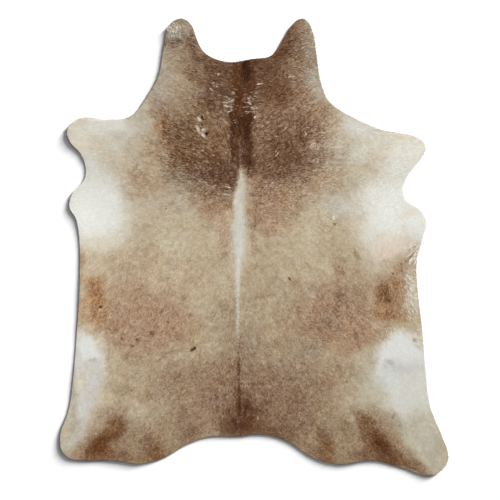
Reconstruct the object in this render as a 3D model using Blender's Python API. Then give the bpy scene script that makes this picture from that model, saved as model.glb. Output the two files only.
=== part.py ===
"""A hair-on cowhide rug: one tanned skin with its coat of short hair, lying on its flesh side.

Metres, +Z up, the neck towards +Y. The origin is on the floor, in the middle of the outline.
The skin is described as it is measured on a bench: how far a place lies out from the backbone,
and how far ahead of the hindmost edge. A place on the animal's left side is out to -X.
"""

from collections import namedtuple
from math import cos, exp, floor, pi, sqrt

import bmesh
import bpy
from mathutils import Vector
from mathutils.geometry import delaunay_2d_cdt, interpolate_bezier, intersect_point_line

# The skin with its laid coat: how thick it is in the body and at the cut edge, how far in
# from the cut the coat reaches its full height, and how much more there is along the back.
BODY_THICKNESS = 0.006
CUT_THICKNESS = 0.003
CUT_ROUNDING = 0.014
BACK_EXTRA = 0.0008
BACK_HALF_WIDTH = 0.40

# The band along the cut edge in which the skin may leave the floor
LIFT_BAND = 0.11

# Spacing of the mesh along the edge, along the backbone and in the field between them, how
# far the field stays off the backbone and off the rounding, and what counts as one point
EDGE_STEP = 0.022
BACKBONE_STEP = 0.054
FIELD_STEP = 0.054
FIELD_TO_BACKBONE = 0.032
FIELD_TO_ROUNDING = 0.018
SAME_POINT = 0.00001

# The cut edge, from the nape round each side to the tail. The cut runs smoothly through
# these landmarks. The two sides were never quite alike.
Landmark = namedtuple("Landmark", "name left_out left_ahead right_out right_ahead")
NAPE = Landmark("nape", 0.035, 1.900, -0.035, 1.900)
TAIL = Landmark("tail", 0.020, 0.180, -0.020, 0.180)
EDGE = (
    Landmark("nape side", 0.115, 1.915, 0.055, 1.915),
    Landmark("ear root", 0.170, 1.950, 0.140, 1.930),
    Landmark("ear, inner edge", 0.200, 2.005, 0.195, 2.005),
    Landmark("ear, inner top", 0.225, 2.070, 0.240, 2.075),
    Landmark("ear tip", 0.270, 2.100, 0.285, 2.100),
    Landmark("ear, outer top", 0.325, 2.070, 0.325, 2.055),
    Landmark("cheek", 0.350, 1.980, 0.345, 1.955),
    Landmark("neck", 0.375, 1.840, 0.365, 1.820),
    Landmark("neck base", 0.435, 1.730, 0.405, 1.720),
    Landmark("shoulder", 0.505, 1.650, 0.505, 1.650),
    Landmark("fore leg, front", 0.610, 1.635, 0.645, 1.590),
    Landmark("fore leg, upper", 0.715, 1.645, 0.775, 1.565),
    Landmark("fore leg, corner", 0.775, 1.620, 0.830, 1.540),
    Landmark("fore leg tip", 0.795, 1.580, 0.850, 1.500),
    Landmark("fore leg, under", 0.780, 1.530, 0.830, 1.460),
    Landmark("armpit, front", 0.730, 1.475, 0.775, 1.390),
    Landmark("armpit", 0.710, 1.405, 0.745, 1.315),
    Landmark("elbow, front", 0.720, 1.355, 0.765, 1.260),
    Landmark("elbow, upper", 0.770, 1.300, 0.825, 1.220),
    Landmark("elbow", 0.785, 1.235, 0.855, 1.165),
    Landmark("elbow, rear", 0.755, 1.180, 0.835, 1.085),
    Landmark("belly, front", 0.740, 1.080, 0.810, 0.980),
    Landmark("belly", 0.740, 0.850, 0.815, 0.850),
    Landmark("flank", 0.755, 0.620, 0.835, 0.665),
    Landmark("stifle", 0.770, 0.435, 0.850, 0.485),
    Landmark("hind leg, front", 0.790, 0.300, 0.870, 0.325),
    Landmark("hind leg, upper", 0.825, 0.200, 0.920, 0.195),
    Landmark("hind leg tip", 0.825, 0.125, 0.955, 0.090),
    Landmark("hind leg, corner", 0.795, 0.085, 0.925, 0.025),
    Landmark("hind leg, lower", 0.735, 0.070, 0.860, 0.000),
    Landmark("hock", 0.620, 0.070, 0.745, 0.035),
    Landmark("hind leg, back", 0.545, 0.065, 0.605, 0.070),
    Landmark("buttock", 0.465, 0.055, 0.450, 0.053),
    Landmark("buttock, inner", 0.355, 0.080, 0.330, 0.085),
    Landmark("rump side", 0.240, 0.145, 0.210, 0.160),
    Landmark("rump", 0.140, 0.180, 0.100, 0.190),
)

# How high the cut edge stands off the floor at the landmarks where the dried skin curls, and
# how far from there the curl has died away
Curl = namedtuple("Curl", "name left_height right_height reach")
CURLS = (
    Curl("ear tip", 0.006, 0.005, 0.20),
    Curl("neck", 0.003, 0.002, 0.28),
    Curl("fore leg tip", 0.007, 0.005, 0.24),
    Curl("elbow", 0.005, 0.006, 0.22),
    Curl("belly", 0.003, 0.004, 0.32),
    Curl("stifle", 0.002, 0.003, 0.20),
    Curl("hind leg tip", 0.006, 0.008, 0.26),
    Curl("hind leg, back", 0.004, 0.003, 0.24),
    Curl("buttock", 0.002, 0.004, 0.20),
)

# Places in the body where the skin isn't flat, and how far each reaches: a height above zero
# stands off the floor with air under it, and one below zero is a hollow in the coat.
Relief = namedtuple("Relief", "name out ahead reach height")
RELIEFS = (
    Relief("left shoulder blade", -0.44, 1.42, 0.30, 0.0030),
    Relief("right shoulder blade", 0.47, 1.36, 0.30, 0.0026),
    Relief("left hip", -0.47, 0.34, 0.32, 0.0032),
    Relief("right hip", 0.52, 0.33, 0.32, 0.0030),
    Relief("left flank fold", -0.68, 0.52, 0.18, -0.0016),
    Relief("right flank fold", 0.69, 0.51, 0.18, -0.0016),
)

# The line of the back, from the tail to the nape: a crease, where the skin was folded in
# two, becomes a low ridge of thicker hair at the withers.
Backbone = namedtuple("Backbone", "name out ahead rise")
BACKBONE = (
    Backbone("croup", -0.006, 0.250, -0.0012),
    Backbone("loins", -0.006, 0.620, -0.0010),
    Backbone("mid back", 0.000, 1.000, -0.0002),
    Backbone("withers", 0.005, 1.400, 0.0008),
    Backbone("crest", 0.012, 1.840, 0.0010),
)

# Colour of the mid body as the viewport shows it, and how matt the coat is
FAWN = (0.51, 0.39, 0.26, 1.0)
COAT_ROUGHNESS = 0.65


def clear_scene():
    for obj in list(bpy.data.objects):
        bpy.data.objects.remove(obj, do_unlink=True)


def left_place(row):
    return Vector((-row.left_out, row.left_ahead))


def right_place(row):
    return Vector((row.right_out, row.right_ahead))


def fade(share):
    """1 at no distance, 0 at the whole reach and beyond, with no corner at either end."""
    return (1.0 + cos(pi * min(max(share, 0.0), 1.0))) / 2


def smooth_loop(corners, step):
    """Points about a step apart on a closed curve that runs smoothly through the corners."""
    loop = []
    for index, start in enumerate(corners):
        before = corners[index - 1]
        end = corners[(index + 1) % len(corners)]
        after = corners[(index + 2) % len(corners)]
        span = (end - start).length
        leave = start + (end - before).normalized() * span / 3
        arrive = end - (after - start).normalized() * span / 3
        parts = max(1, round(span / step))
        loop += [point.to_2d() for point in interpolate_bezier(start, leave, arrive, end, parts + 1)[:-1]]
    return loop


def cut_edge():
    """The outline seen from above, anticlockwise from the nape."""
    left_side = [left_place(row) for row in EDGE]
    right_side = [right_place(row) for row in reversed(EDGE)]
    return smooth_loop([left_place(NAPE), *left_side, left_place(TAIL), *right_side], EDGE_STEP)


def inset(loop, depth):
    """The loop moved inwards, square to its own run."""
    moved = []
    for index, point in enumerate(loop):
        run = (loop[(index + 1) % len(loop)] - loop[index - 1]).normalized()
        moved.append(point + Vector((-run.y, run.x)) * depth)
    return moved


def to_edge(point, rim):
    """Distance from a point of the plan to the cut edge."""
    nearest = float("inf")
    for index, end in enumerate(rim):
        foot, share = intersect_point_line(point, rim[index - 1], end)
        if share <= 0.0:
            foot = rim[index - 1]
        elif share >= 1.0:
            foot = end
        nearest = min(nearest, (point - foot.to_2d()).length)
    return nearest


def is_inside(point, rim):
    """True where a ray towards +X crosses the cut edge an odd number of times."""
    crossings = 0
    for index, end in enumerate(rim):
        start = rim[index - 1]
        if (start.y > point.y) != (end.y > point.y):
            share = (point.y - start.y) / (end.y - start.y)
            crossings += point.x < start.x + share * (end.x - start.x)
    return crossings % 2 == 1


def backbone_line():
    """Points along the line of the back, each with the height that it adds to the coat."""
    line = []
    for start, end in zip(BACKBONE, BACKBONE[1:]):
        low = Vector((start.out, start.ahead, start.rise))
        high = Vector((end.out, end.ahead, end.rise))
        steps = round((end.ahead - start.ahead) / BACKBONE_STEP)
        line += [low.lerp(high, step / steps) for step in range(steps)]
    return line


def field_points(rim, line):
    """Points on a grid of even triangles, clear of the rounded edge and of the backbone."""
    low = Vector((min(p.x for p in rim), min(p.y for p in rim)))
    high = Vector((max(p.x for p in rim), max(p.y for p in rim)))
    row_step = FIELD_STEP * sqrt(3) / 2
    points = []
    for row in range(1, floor((high.y - low.y) / row_step)):
        for column in range(floor((high.x - low.x) / FIELD_STEP)):
            shift = FIELD_STEP / 2 if row % 2 else 0.0
            point = low + Vector((column * FIELD_STEP + shift, row * row_step))
            clear_of_line = min((point - mark.xy).length for mark in line) > FIELD_TO_BACKBONE
            clear_of_edge = to_edge(point, rim) > CUT_ROUNDING + FIELD_TO_ROUNDING
            if clear_of_line and clear_of_edge and is_inside(point, rim):
                points.append(point)
    return points


def relief_share(relief, point):
    return fade((point - Vector((relief.out, relief.ahead))).length / relief.reach)


def floor_gap(point, edge_distance):
    """How far the underside stands off the floor."""
    gap = 0.0
    near_edge = fade(edge_distance / LIFT_BAND)
    rows = {row.name: row for row in EDGE}
    for curl in CURLS:
        row = rows[curl.name]
        gap += near_edge * curl.left_height * fade((point - left_place(row)).length / curl.reach)
        gap += near_edge * curl.right_height * fade((point - right_place(row)).length / curl.reach)
    for relief in RELIEFS:
        gap += max(relief.height, 0.0) * relief_share(relief, point)
    return gap


def thickness(point, edge_distance, line):
    """Height of the coat's surface over the underside."""
    full = BODY_THICKNESS + BACK_EXTRA * exp(-(point.x / BACK_HALF_WIDTH) ** 2)
    full += sum(min(relief.height, 0.0) * relief_share(relief, point) for relief in RELIEFS)
    nearest = min(line, key=lambda mark: (point - mark.xy).length)
    if (point - nearest.xy).length < SAME_POINT:
        full += nearest.z
    rounding = 1.0 - min(edge_distance / CUT_ROUNDING, 1.0)
    return CUT_THICKNESS + (full - CUT_THICKNESS) * sqrt(1.0 - rounding ** 2)


def plan_mesh(rim, inner, line, field):
    """The outline filled with triangles, whose edges follow the rim, the rounding and the back."""
    points = rim + inner + [mark.xy for mark in line] + field
    edges = []
    first = 0
    for loop in (rim, inner):
        edges += [(first + index, first + (index + 1) % len(loop)) for index in range(len(loop))]
        first += len(loop)
    edges += [(first + index, first + index + 1) for index in range(len(line) - 1)]
    inside_edges_only = 1
    filled = delaunay_2d_cdt(points, edges, [], inside_edges_only, SAME_POINT)
    return filled[0], filled[2]


def make_material():
    material = bpy.data.materials.new("fawn coat")
    material.use_nodes = True
    shader = material.node_tree.nodes["Principled BSDF"]
    shader.inputs["Base Color"].default_value = FAWN
    shader.inputs["Roughness"].default_value = COAT_ROUGHNESS
    shader.inputs["Metallic"].default_value = 0.0
    material.diffuse_color = FAWN
    return material


def make_hide():
    """The plan is drawn on the floor, extruded upwards, and both of its sides take their heights."""
    rim = cut_edge()
    line = backbone_line()
    points, triangles = plan_mesh(rim, inset(rim, CUT_ROUNDING), line, field_points(rim, line))
    shape = bmesh.new()
    underside = [shape.verts.new((point.x, point.y, 0.0)) for point in points]
    for triangle in triangles:
        shape.faces.new([underside[index] for index in triangle])
    raised = bmesh.ops.extrude_face_region(shape, geom=shape.faces[:], use_keep_orig=True)
    coat = [item for item in raised["geom"] if isinstance(item, bmesh.types.BMVert)]
    for vert in underside:
        vert.co.z = floor_gap(vert.co.xy, to_edge(vert.co.xy, rim))
    for vert in coat:
        edge_distance = to_edge(vert.co.xy, rim)
        vert.co.z = floor_gap(vert.co.xy, edge_distance) + thickness(vert.co.xy, edge_distance, line)
    middle_out = (min(point.x for point in rim) + max(point.x for point in rim)) / 2
    middle_ahead = (min(point.y for point in rim) + max(point.y for point in rim)) / 2
    bmesh.ops.translate(shape, verts=shape.verts[:], vec=(-middle_out, -middle_ahead, 0.0))
    bmesh.ops.recalc_face_normals(shape, faces=shape.faces[:])
    mesh = bpy.data.meshes.new("hide")
    shape.to_mesh(mesh)
    shape.free()
    mesh.shade_smooth()
    mesh.set_sharp_from_angle(angle=pi / 4)
    mesh.materials.append(make_material())
    bpy.context.scene.collection.objects.link(bpy.data.objects.new("hide", mesh))


clear_scene()
make_hide()
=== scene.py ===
"""A hair-on cowhide rug laid flat on its flesh side: one tanned skin, cut to its natural outline,
with its short coat of hair in the fawn, brown and white markings of the photograph."""

from collections import namedtuple

import bmesh
import bpy
import numpy as np
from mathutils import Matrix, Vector, geometry
from mathutils.bvhtree import BVHTree


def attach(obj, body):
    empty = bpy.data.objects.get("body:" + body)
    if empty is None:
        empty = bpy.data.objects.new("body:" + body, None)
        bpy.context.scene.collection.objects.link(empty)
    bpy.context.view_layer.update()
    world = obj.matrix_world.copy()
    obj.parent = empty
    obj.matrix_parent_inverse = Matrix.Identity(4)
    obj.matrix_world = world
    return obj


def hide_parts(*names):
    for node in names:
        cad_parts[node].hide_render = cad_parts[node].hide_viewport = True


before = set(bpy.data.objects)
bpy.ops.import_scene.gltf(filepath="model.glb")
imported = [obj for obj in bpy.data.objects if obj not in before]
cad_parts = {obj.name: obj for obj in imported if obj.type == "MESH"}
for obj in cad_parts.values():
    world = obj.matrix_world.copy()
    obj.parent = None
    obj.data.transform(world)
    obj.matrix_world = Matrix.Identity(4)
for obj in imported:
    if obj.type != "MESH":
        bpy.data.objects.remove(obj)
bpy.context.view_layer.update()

# Floor, light and camera
# The rug lies on a plain white studio floor, seen from straight above.
# A soft light from the upper right is on the hair, and three lower ones from the same side
# reach only the floor, where they leave the narrow shadow along the left and lower edges.
FLOOR_RADIUS = 14.0
FLOOR_DROP = 0.0003
FLOOR_SIDES = 96
FLOOR_WHITE = (0.90, 0.90, 0.90, 1)
FLOOR_ROUGHNESS = 0.9
FILL_STRENGTH = 0.15
SKY_AS_SEEN = 1.0
SKY_WHITE = (1, 1, 1, 1)
LIGHT_AZIMUTH = 44.0
# Each light's strength, its height and softness in degrees, and whether it leaves out the floor
# or reaches nothing else
LIGHTS = {
    "hair light": (4.6, 50.0, 26.0, "EXCLUDE"),
    "contact shadow light": (0.40, 48.0, 20.0, "INCLUDE"),
    "near shadow light": (5.1, 19.0, 13.0, "INCLUDE"),
    "far shadow light": (8.0, 9.8, 10.0, "INCLUDE"),
}
CAMERA_LENS = 100.0
CAMERA_SENSOR = 36.0
CAMERA_REACH = 60.0
VIEW_WIDTH = 2.301
VIEW_MIDDLE = (-0.019, -0.0136)


def principled(material):
    """The material's own shader node."""
    return next(n for n in material.node_tree.nodes if n.type == "BSDF_PRINCIPLED")


def set_inputs(node, values):
    """Sets a node's inputs by their names."""
    for name, value in values.items():
        node.inputs[name].default_value = value


def new_material(name, values):
    """A node material with these values on its shader."""
    material = bpy.data.materials.new(name)
    material.use_nodes = True
    set_inputs(principled(material), values)
    return material


def ranged(tree, value, low, high, start=0.0, end=1.0):
    """A value between start and end turned into one between low and high."""
    node = tree.nodes.new("ShaderNodeMapRange")
    set_inputs(node, {"From Min": start, "From Max": end, "To Min": low, "To Max": high})
    tree.links.new(value, node.inputs["Value"])
    return node.outputs["Result"]


def add_object(name, data):
    """Links a new object at the origin."""
    obj = bpy.data.objects.new(name, data)
    bpy.context.scene.collection.objects.link(obj)
    return obj


def from_above(elevation, azimuth):
    """The turn of a light that shines down from that height and side."""
    across = np.cos(np.radians(elevation))
    source = Vector((
        across * np.cos(np.radians(azimuth)),
        across * np.sin(np.radians(azimuth)),
        np.sin(np.radians(elevation)),
    ))
    return source.to_track_quat("Z", "Y").to_euler()


def add_sun(name, floor, strength, elevation, softness, reach):
    """A far light with soft-edged shadows, for the floor alone or for all but the floor."""
    sun = bpy.data.lights.new(name, "SUN")
    sun.energy = strength
    sun.angle = np.radians(softness)
    obj = add_object(name, sun)
    obj.rotation_euler = from_above(elevation, LIGHT_AZIMUTH)
    lit = bpy.data.collections.new("reach of " + name)
    lit.objects.link(floor)
    lit.collection_objects[0].light_linking.link_state = reach
    obj.light_linking.receiver_collection = lit


def add_floor():
    """A wide white disc just under the rug."""
    mesh = bpy.data.meshes.new("floor")
    shape = bmesh.new()
    bmesh.ops.create_circle(shape, cap_ends=True, segments=FLOOR_SIDES, radius=FLOOR_RADIUS)
    bmesh.ops.translate(shape, verts=shape.verts, vec=(0, 0, -FLOOR_DROP))
    shape.to_mesh(mesh)
    shape.free()
    look = {"Base Color": FLOOR_WHITE, "Roughness": FLOOR_ROUGHNESS}
    mesh.materials.append(new_material("white floor", look))
    floor = add_object("floor", mesh)
    return floor


def add_camera():
    """Straight above the rug, far enough to see it without distortion."""
    camera = bpy.data.cameras.new("camera")
    camera.lens = CAMERA_LENS
    camera.sensor_width = CAMERA_SENSOR
    camera.clip_end = CAMERA_REACH
    obj = add_object("camera", camera)
    obj.location = (*VIEW_MIDDLE, VIEW_WIDTH * CAMERA_LENS / CAMERA_SENSOR)
    bpy.context.scene.camera = obj


def add_world():
    """Even white fill from all round, seen as plain white beyond the floor."""
    world = bpy.data.worlds.new("studio")
    world.use_nodes = True
    tree = world.node_tree
    sky = next(n for n in tree.nodes if n.type == "BACKGROUND")
    set_inputs(sky, {"Color": SKY_WHITE})
    seen = tree.nodes.new("ShaderNodeLightPath").outputs["Is Camera Ray"]
    tree.links.new(ranged(tree, seen, FILL_STRENGTH, SKY_AS_SEEN), sky.inputs["Strength"])
    bpy.context.scene.world = world


bpy.context.scene.view_settings.view_transform = "Standard"
floor = add_floor()
add_world()
for name, settings in LIGHTS.items():
    add_sun(name, floor, *settings)
add_camera()

# Skin
# One tanned hide about two millimetres thick, cut with a knife to its natural outline.
# Its flesh side is pale suede and lies on the floor, with the cut edge lifting a little.
LEATHER = 0.0023
EDGE_CUTS = 3
HAIR_SIDE_STEP = 0.011
FLESH_SIDE_STEP = 0.026
HONEYCOMB_ROW = np.sqrt(0.75)
MERGE_DISTANCE = 0.00001
FACING_DOWN = -0.5
UNDER_FLOOR = -1
INSIDE_ONLY = 1
SAME_POINT = 1e-6
RIPPLE_HEIGHT = 0.0004
RIPPLE_SIZE = 0.11
RIPPLE_SEED = 3
# Places between the landmarks where the rear edge stands a little higher than the CAD's: where
# that is, how much higher, and how far along the edge and inwards it reaches
EDGE_LIFTS = (
    (0.157, -0.90, 0.0026, 0.24),
    (-0.10, -0.86, 0.0022, 0.22),
    (-0.28, -0.90, 0.0016, 0.18),
)
LIFT_BAND = 0.09
# The corner of the square that the noise covers, its width, and its spare columns
NOISE_CORNER = (-1.4, -1.6)
NOISE_WIDTH = 3.4
NOISE_SPARE = 4
MAP_MARGIN = 0.02
MAP_LEAN = 0.6
SUEDE = (0.60, 0.51, 0.40, 1)
SUEDE_DARK = (0.47, 0.38, 0.28, 1)
SUEDE_RANGE = (0.35, 0.62)
SUEDE_LOOK = {"Roughness": 0.9, "Specular IOR Level": 0.2}
SUEDE_PATCHES = {"Scale": 14, "Detail": 6}
SUEDE_NAP = {"Scale": 900, "Detail": 3}
SUEDE_BUMP = {"Strength": 0.4, "Distance": 0.0006}


def eased(share):
    """A share from 0 to 1 that starts and ends gently."""
    return share * share * (3 - 2 * share)


def smooth_noise(x, y, size, seed):
    """Soft random values from -1 to 1 that change over about one size."""
    count = int(NOISE_WIDTH / size) + NOISE_SPARE
    lattice = np.random.default_rng(seed).uniform(-1, 1, (count, count))
    across = (x - NOISE_CORNER[0]) / size
    up = (y - NOISE_CORNER[1]) / size
    column = np.clip(across.astype(int), 0, count - 2)
    row = np.clip(up.astype(int), 0, count - 2)
    u = eased(across - column)
    v = eased(up - row)
    low = lattice[row, column] * (1 - u) + lattice[row, column + 1] * u
    high = lattice[row + 1, column] * (1 - u) + lattice[row + 1, column + 1] * u
    return low * (1 - v) + high * v


def merged_cad(node):
    """A copy of the CAD solid with its loose triangles joined."""
    shape = bmesh.new()
    shape.from_mesh(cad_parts[node].data)
    bmesh.ops.remove_doubles(shape, verts=shape.verts, dist=MERGE_DISTANCE)
    shape.normal_update()
    return shape


def underside_outline(shape):
    """The points round the underside, in order."""
    neighbours = {}
    for edge in shape.edges:
        below = [face.normal.z < FACING_DOWN for face in edge.link_faces]
        if sum(below) == 1:
            first, second = edge.verts
            neighbours.setdefault(first, []).append(second)
            neighbours.setdefault(second, []).append(first)
    start = next(iter(neighbours))
    loop = [start, neighbours[start][0]]
    while loop[-1] != start:
        one, other = neighbours[loop[-1]]
        loop.append(other if one == loop[-2] else one)
    return [vert.co.copy() for vert in loop[:-1]]


def smoothed(points):
    """The same closed loop with EDGE_CUTS points in each step, on one smooth curve.

    The curve leaves and reaches each point along the line between its two neighbours, with
    handles a sixth of that line long.
    """
    made = []
    count = len(points)
    for i in range(count):
        before, here, ahead, beyond = (points[(i + k) % count] for k in (-1, 0, 1, 2))
        leaving = here + (ahead - before) / 6
        arriving = ahead - (beyond - here) / 6
        made += geometry.interpolate_bezier(here, leaving, arriving, ahead, EDGE_CUTS + 1)[:-1]
    return np.array(made)


def inside_outline(points, outline):
    """Which points lie inside the closed outline, seen from above."""
    inside = np.zeros(len(points), bool)
    ends = np.roll(outline, -1, axis=0)
    for (x1, y1), (x2, y2) in zip(outline[:, :2], ends[:, :2]):
        crosses = (y1 > points[:, 1]) != (y2 > points[:, 1])
        if crosses.any():
            x = x1 + (points[crosses, 1] - y1) * (x2 - x1) / (y2 - y1)
            inside[crosses] ^= points[crosses, 0] < x
    return inside


def nearest_on_outline(points, outline):
    """The distance to the nearest outline point and its number."""
    distance = np.full(len(points), np.inf)
    nearest = np.zeros(len(points), int)
    for i, (x, y) in enumerate(outline[:, :2]):
        here = np.hypot(points[:, 0] - x, points[:, 1] - y)
        closer = here < distance
        distance[closer] = here[closer]
        nearest[closer] = i
    return distance, nearest


def plan_points(outline, step):
    """A honeycomb of points over the outline, clear of its edge by half a step."""
    low = outline.min(axis=0)
    high = outline.max(axis=0)
    rows = np.arange(low[1], high[1], step * HONEYCOMB_ROW)
    grid = [
        (x + (step / 2 if k % 2 else 0), y)
        for k, y in enumerate(rows)
        for x in np.arange(low[0], high[0], step)
    ]
    grid = np.array(grid)
    grid = grid[inside_outline(grid, outline)]
    return grid[nearest_on_outline(grid, outline)[0] > step / 2]


def plan_triangles(outline, step):
    """Triangles over the outline: its own points first, then the honeycomb's."""
    points = np.vstack([outline[:, :2], plan_points(outline, step)])
    points = [Vector(point) for point in points.tolist()]
    count = len(outline)
    rim = [(i, (i + 1) % count) for i in range(count)]
    made = geometry.delaunay_2d_cdt(points, rim, [], INSIDE_ONLY, SAME_POINT)
    places = np.array([v[:] for v in made[0]])
    return places, made[2]


def edge_lift(places, outline):
    """How much higher than the CAD's the rear edge stands at each place."""
    near_edge = np.clip(1 - nearest_on_outline(places, outline)[0] / LIFT_BAND, 0, 1) ** 2
    lift = np.zeros(len(places))
    for x, y, height, reach in EDGE_LIFTS:
        away = np.hypot(places[:, 0] - x, places[:, 1] - y)
        lift += height * np.clip(1 - (away / reach) ** 2, 0, 1)
    return lift * near_edge


def floor_heights(places, outline, solid):
    """How high the hide's underside stands off the floor at each place."""
    tree = BVHTree.FromBMesh(solid)
    heights = np.zeros(len(places))
    count = len(outline)
    heights[:count] = outline[:, 2]
    for i, (x, y) in enumerate(places[count:], start=count):
        hit = tree.ray_cast(Vector((x, y, UNDER_FLOOR)), Vector((0, 0, 1)))[0]
        if hit is None:
            hit = tree.find_nearest(Vector((x, y, 0)))[0]
        heights[i] = hit.z
    ripple = smooth_noise(places[:, 0], places[:, 1], RIPPLE_SIZE, RIPPLE_SEED) + 1
    return np.maximum(heights, 0) + RIPPLE_HEIGHT * ripple + edge_lift(places, outline)


def mesh_points(mesh):
    """Where a mesh's points are, one row each."""
    places = np.empty(len(mesh.vertices) * 3)
    mesh.vertices.foreach_get("co", places)
    return places.reshape(-1, 3)


def planar_uv(mesh, outline):
    """A map seen from above, leaned a little so that upright faces keep some width on it."""
    places = mesh_points(mesh)
    corners = np.empty(len(mesh.loops), int)
    mesh.loops.foreach_get("vertex_index", corners)
    low = outline[:, :2].min(axis=0) - MAP_MARGIN
    high = outline[:, :2].max(axis=0) + MAP_MARGIN
    flat = places[:, :2] + MAP_LEAN * places[:, 2:]
    flat = (flat - low) / (high - low)
    layer = mesh.uv_layers.new(name="OFBake")
    layer.data.foreach_set("uv", flat[corners].ravel())


def make_skin(outline, solid):
    """The leather: hair side, flesh side and the cut edge between them."""
    top, top_faces = plan_triangles(outline, HAIR_SIDE_STEP)
    bottom, bottom_faces = plan_triangles(outline, FLESH_SIDE_STEP)
    top_heights = floor_heights(top, outline, solid) + LEATHER
    bottom_heights = floor_heights(bottom, outline, solid)
    places = np.vstack([np.column_stack([top, top_heights]), np.column_stack([bottom, bottom_heights])])
    start = len(top)
    count = len(outline)
    faces = [tuple(face) for face in top_faces]
    faces += [tuple(start + i for i in reversed(face)) for face in bottom_faces]
    faces += [(i, start + i, start + (i + 1) % count, (i + 1) % count) for i in range(count)]
    mesh = bpy.data.meshes.new("skin")
    mesh.from_pydata(places.tolist(), [], faces)
    shape = bmesh.new()
    shape.from_mesh(mesh)
    for number, face in enumerate(shape.faces):
        face.material_index = 1 if number < len(top_faces) else 0
    bmesh.ops.recalc_face_normals(shape, faces=shape.faces)
    shape.to_mesh(mesh)
    shape.free()
    return add_object("skin", mesh), (top, top_heights, top_faces)


def noise_on_object(tree, values):
    """Noise that keeps its place on the object, its scale in changes to a metre."""
    noise = tree.nodes.new("ShaderNodeTexNoise")
    set_inputs(noise, values)
    place = tree.nodes.new("ShaderNodeTexCoord")
    tree.links.new(place.outputs["Object"], noise.inputs["Vector"])
    return noise.outputs["Fac"]


def suede_material():
    """Pale, slightly mottled suede, with the napped surface of a flesh side."""
    material = new_material("suede", SUEDE_LOOK)
    tree = material.node_tree
    shader = principled(material)
    tone = tree.nodes.new("ShaderNodeValToRGB")
    for stop, place, colour in zip(tone.color_ramp.elements, SUEDE_RANGE, (SUEDE_DARK, SUEDE)):
        stop.position = place
        stop.color = colour
    bump = tree.nodes.new("ShaderNodeBump")
    set_inputs(bump, SUEDE_BUMP)
    tree.links.new(noise_on_object(tree, SUEDE_PATCHES), tone.inputs["Fac"])
    tree.links.new(tone.outputs["Color"], shader.inputs["Base Color"])
    tree.links.new(noise_on_object(tree, SUEDE_NAP), bump.inputs["Height"])
    tree.links.new(bump.outputs["Normal"], shader.inputs["Normal"])
    return material


solid = merged_cad("hide")
outline = smoothed(underside_outline(solid))
skin, hair_side = make_skin(outline, solid)
solid.free()
skin.data.materials.append(suede_material())
planar_uv(skin.data, outline)
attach(skin, "root")
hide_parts("hide")

# Coat
# The animal's own short hair, lying in locks from the backbone out and back towards the tail.
# It grows from the skin, is shorter at the cut edge, and carries all the natural markings.
# Its locks also carry painted shade at their roots and along the cut edge, and painted light on their
# tips.
COAT_PIECES = ("coat_neck", "coat_shoulders", "coat_ribs", "coat_loins", "coat_rump")
BACKBONE_X = -0.065
REAR_Y = -1.05
# The locks, by the names of their tree's inputs: how far apart they grow, how wide and deep one
# is, how much it lifts, rolls and strays from the lay, and how softly it is shaded
COAT_LOCKS = {
    "Spacing": 0.0031,
    "Lock Width": 0.0013,
    "Lock Depth": 0.0030,
    "Lift": 0.02,
    "Roll": 0.10,
    "Stray": 0.16,
    "Softness": 0.90,
}
LOCK_CORNERS = 4
LOCK_RISE = 0.75
LOCK_SHOULDER = 0.28
# How single locks differ: the least and greatest share of a size, and its seed
WIDTH_SHARES = (0.75, 1.25, 6)
DEPTH_SHARES = (0.45, 1.1, 9)
LENGTH_SHARES = (0.65, 1.2, 7)
# The directions in which they stray and roll: how far across, ahead and up, and the seed
STRAY_REACH = ((1, 1, 0.3), 5)
ROLL_REACH = ((1, 1, 0), 8)
# How many places for a lock are tried in each square as wide as the spacing
PLACES_TRIED = 4.0
# Hair length by distance ahead of the rear edge: sleek over the rump, and longest on the neck
HAIR_PLACES = (0.45, 1.25, 1.55)
HAIR_LENGTHS = (0.008, 0.010, 0.014)
SHORTEST_HAIR = 0.005
LOWEST_HAIR = 0.0003
# At the cut edge: how far in the coat changes, how far a lock may hang over, how much it droops,
# how little past the edge it may start and still point over it, and its least slant to the edge
EDGE_REACH = 0.008
EDGE_OVERHANG = 0.005
EDGE_DROOP = 0.9
EDGE_SLACK = 0.001
SMALLEST_SLANT = 0.15
# Painted shade along the cut edge: how much darker locks at the very edge are painted, and how fast
# that grows with the darkness of their tone
RIM_PAINTED_SHADE = 0.45
RIM_PAINTED_SHADE_GAIN = 3
# Painted light and shade along each lock: its tip is painted lighter, its root and the skin between the
# locks darker
TIP_PAINTED_LIGHT = 1.06
ROOT_PAINTED_SHADE = 0.88
LOCK_WANDER = 0.005
LOCK_TINT_LIGHT = 0.024
LOCK_TINT_DARK = 0.24
LOCK_TINT_MOST = 0.5
HAIR_LOOK = {"Roughness": 0.7, "Specular IOR Level": 0.10}
HAIR_GRAIN = {"Scale": 700, "Detail": 2}
HAIR_GRAIN_RANGE = (0.3, 0.7)
HAIR_GRAIN_TINT = (0.92, 1.06)
HAIR_GLOSS = (0.60, 0.78)
LOCK_SEED = 30
COLOUR_SEED = 60

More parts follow.
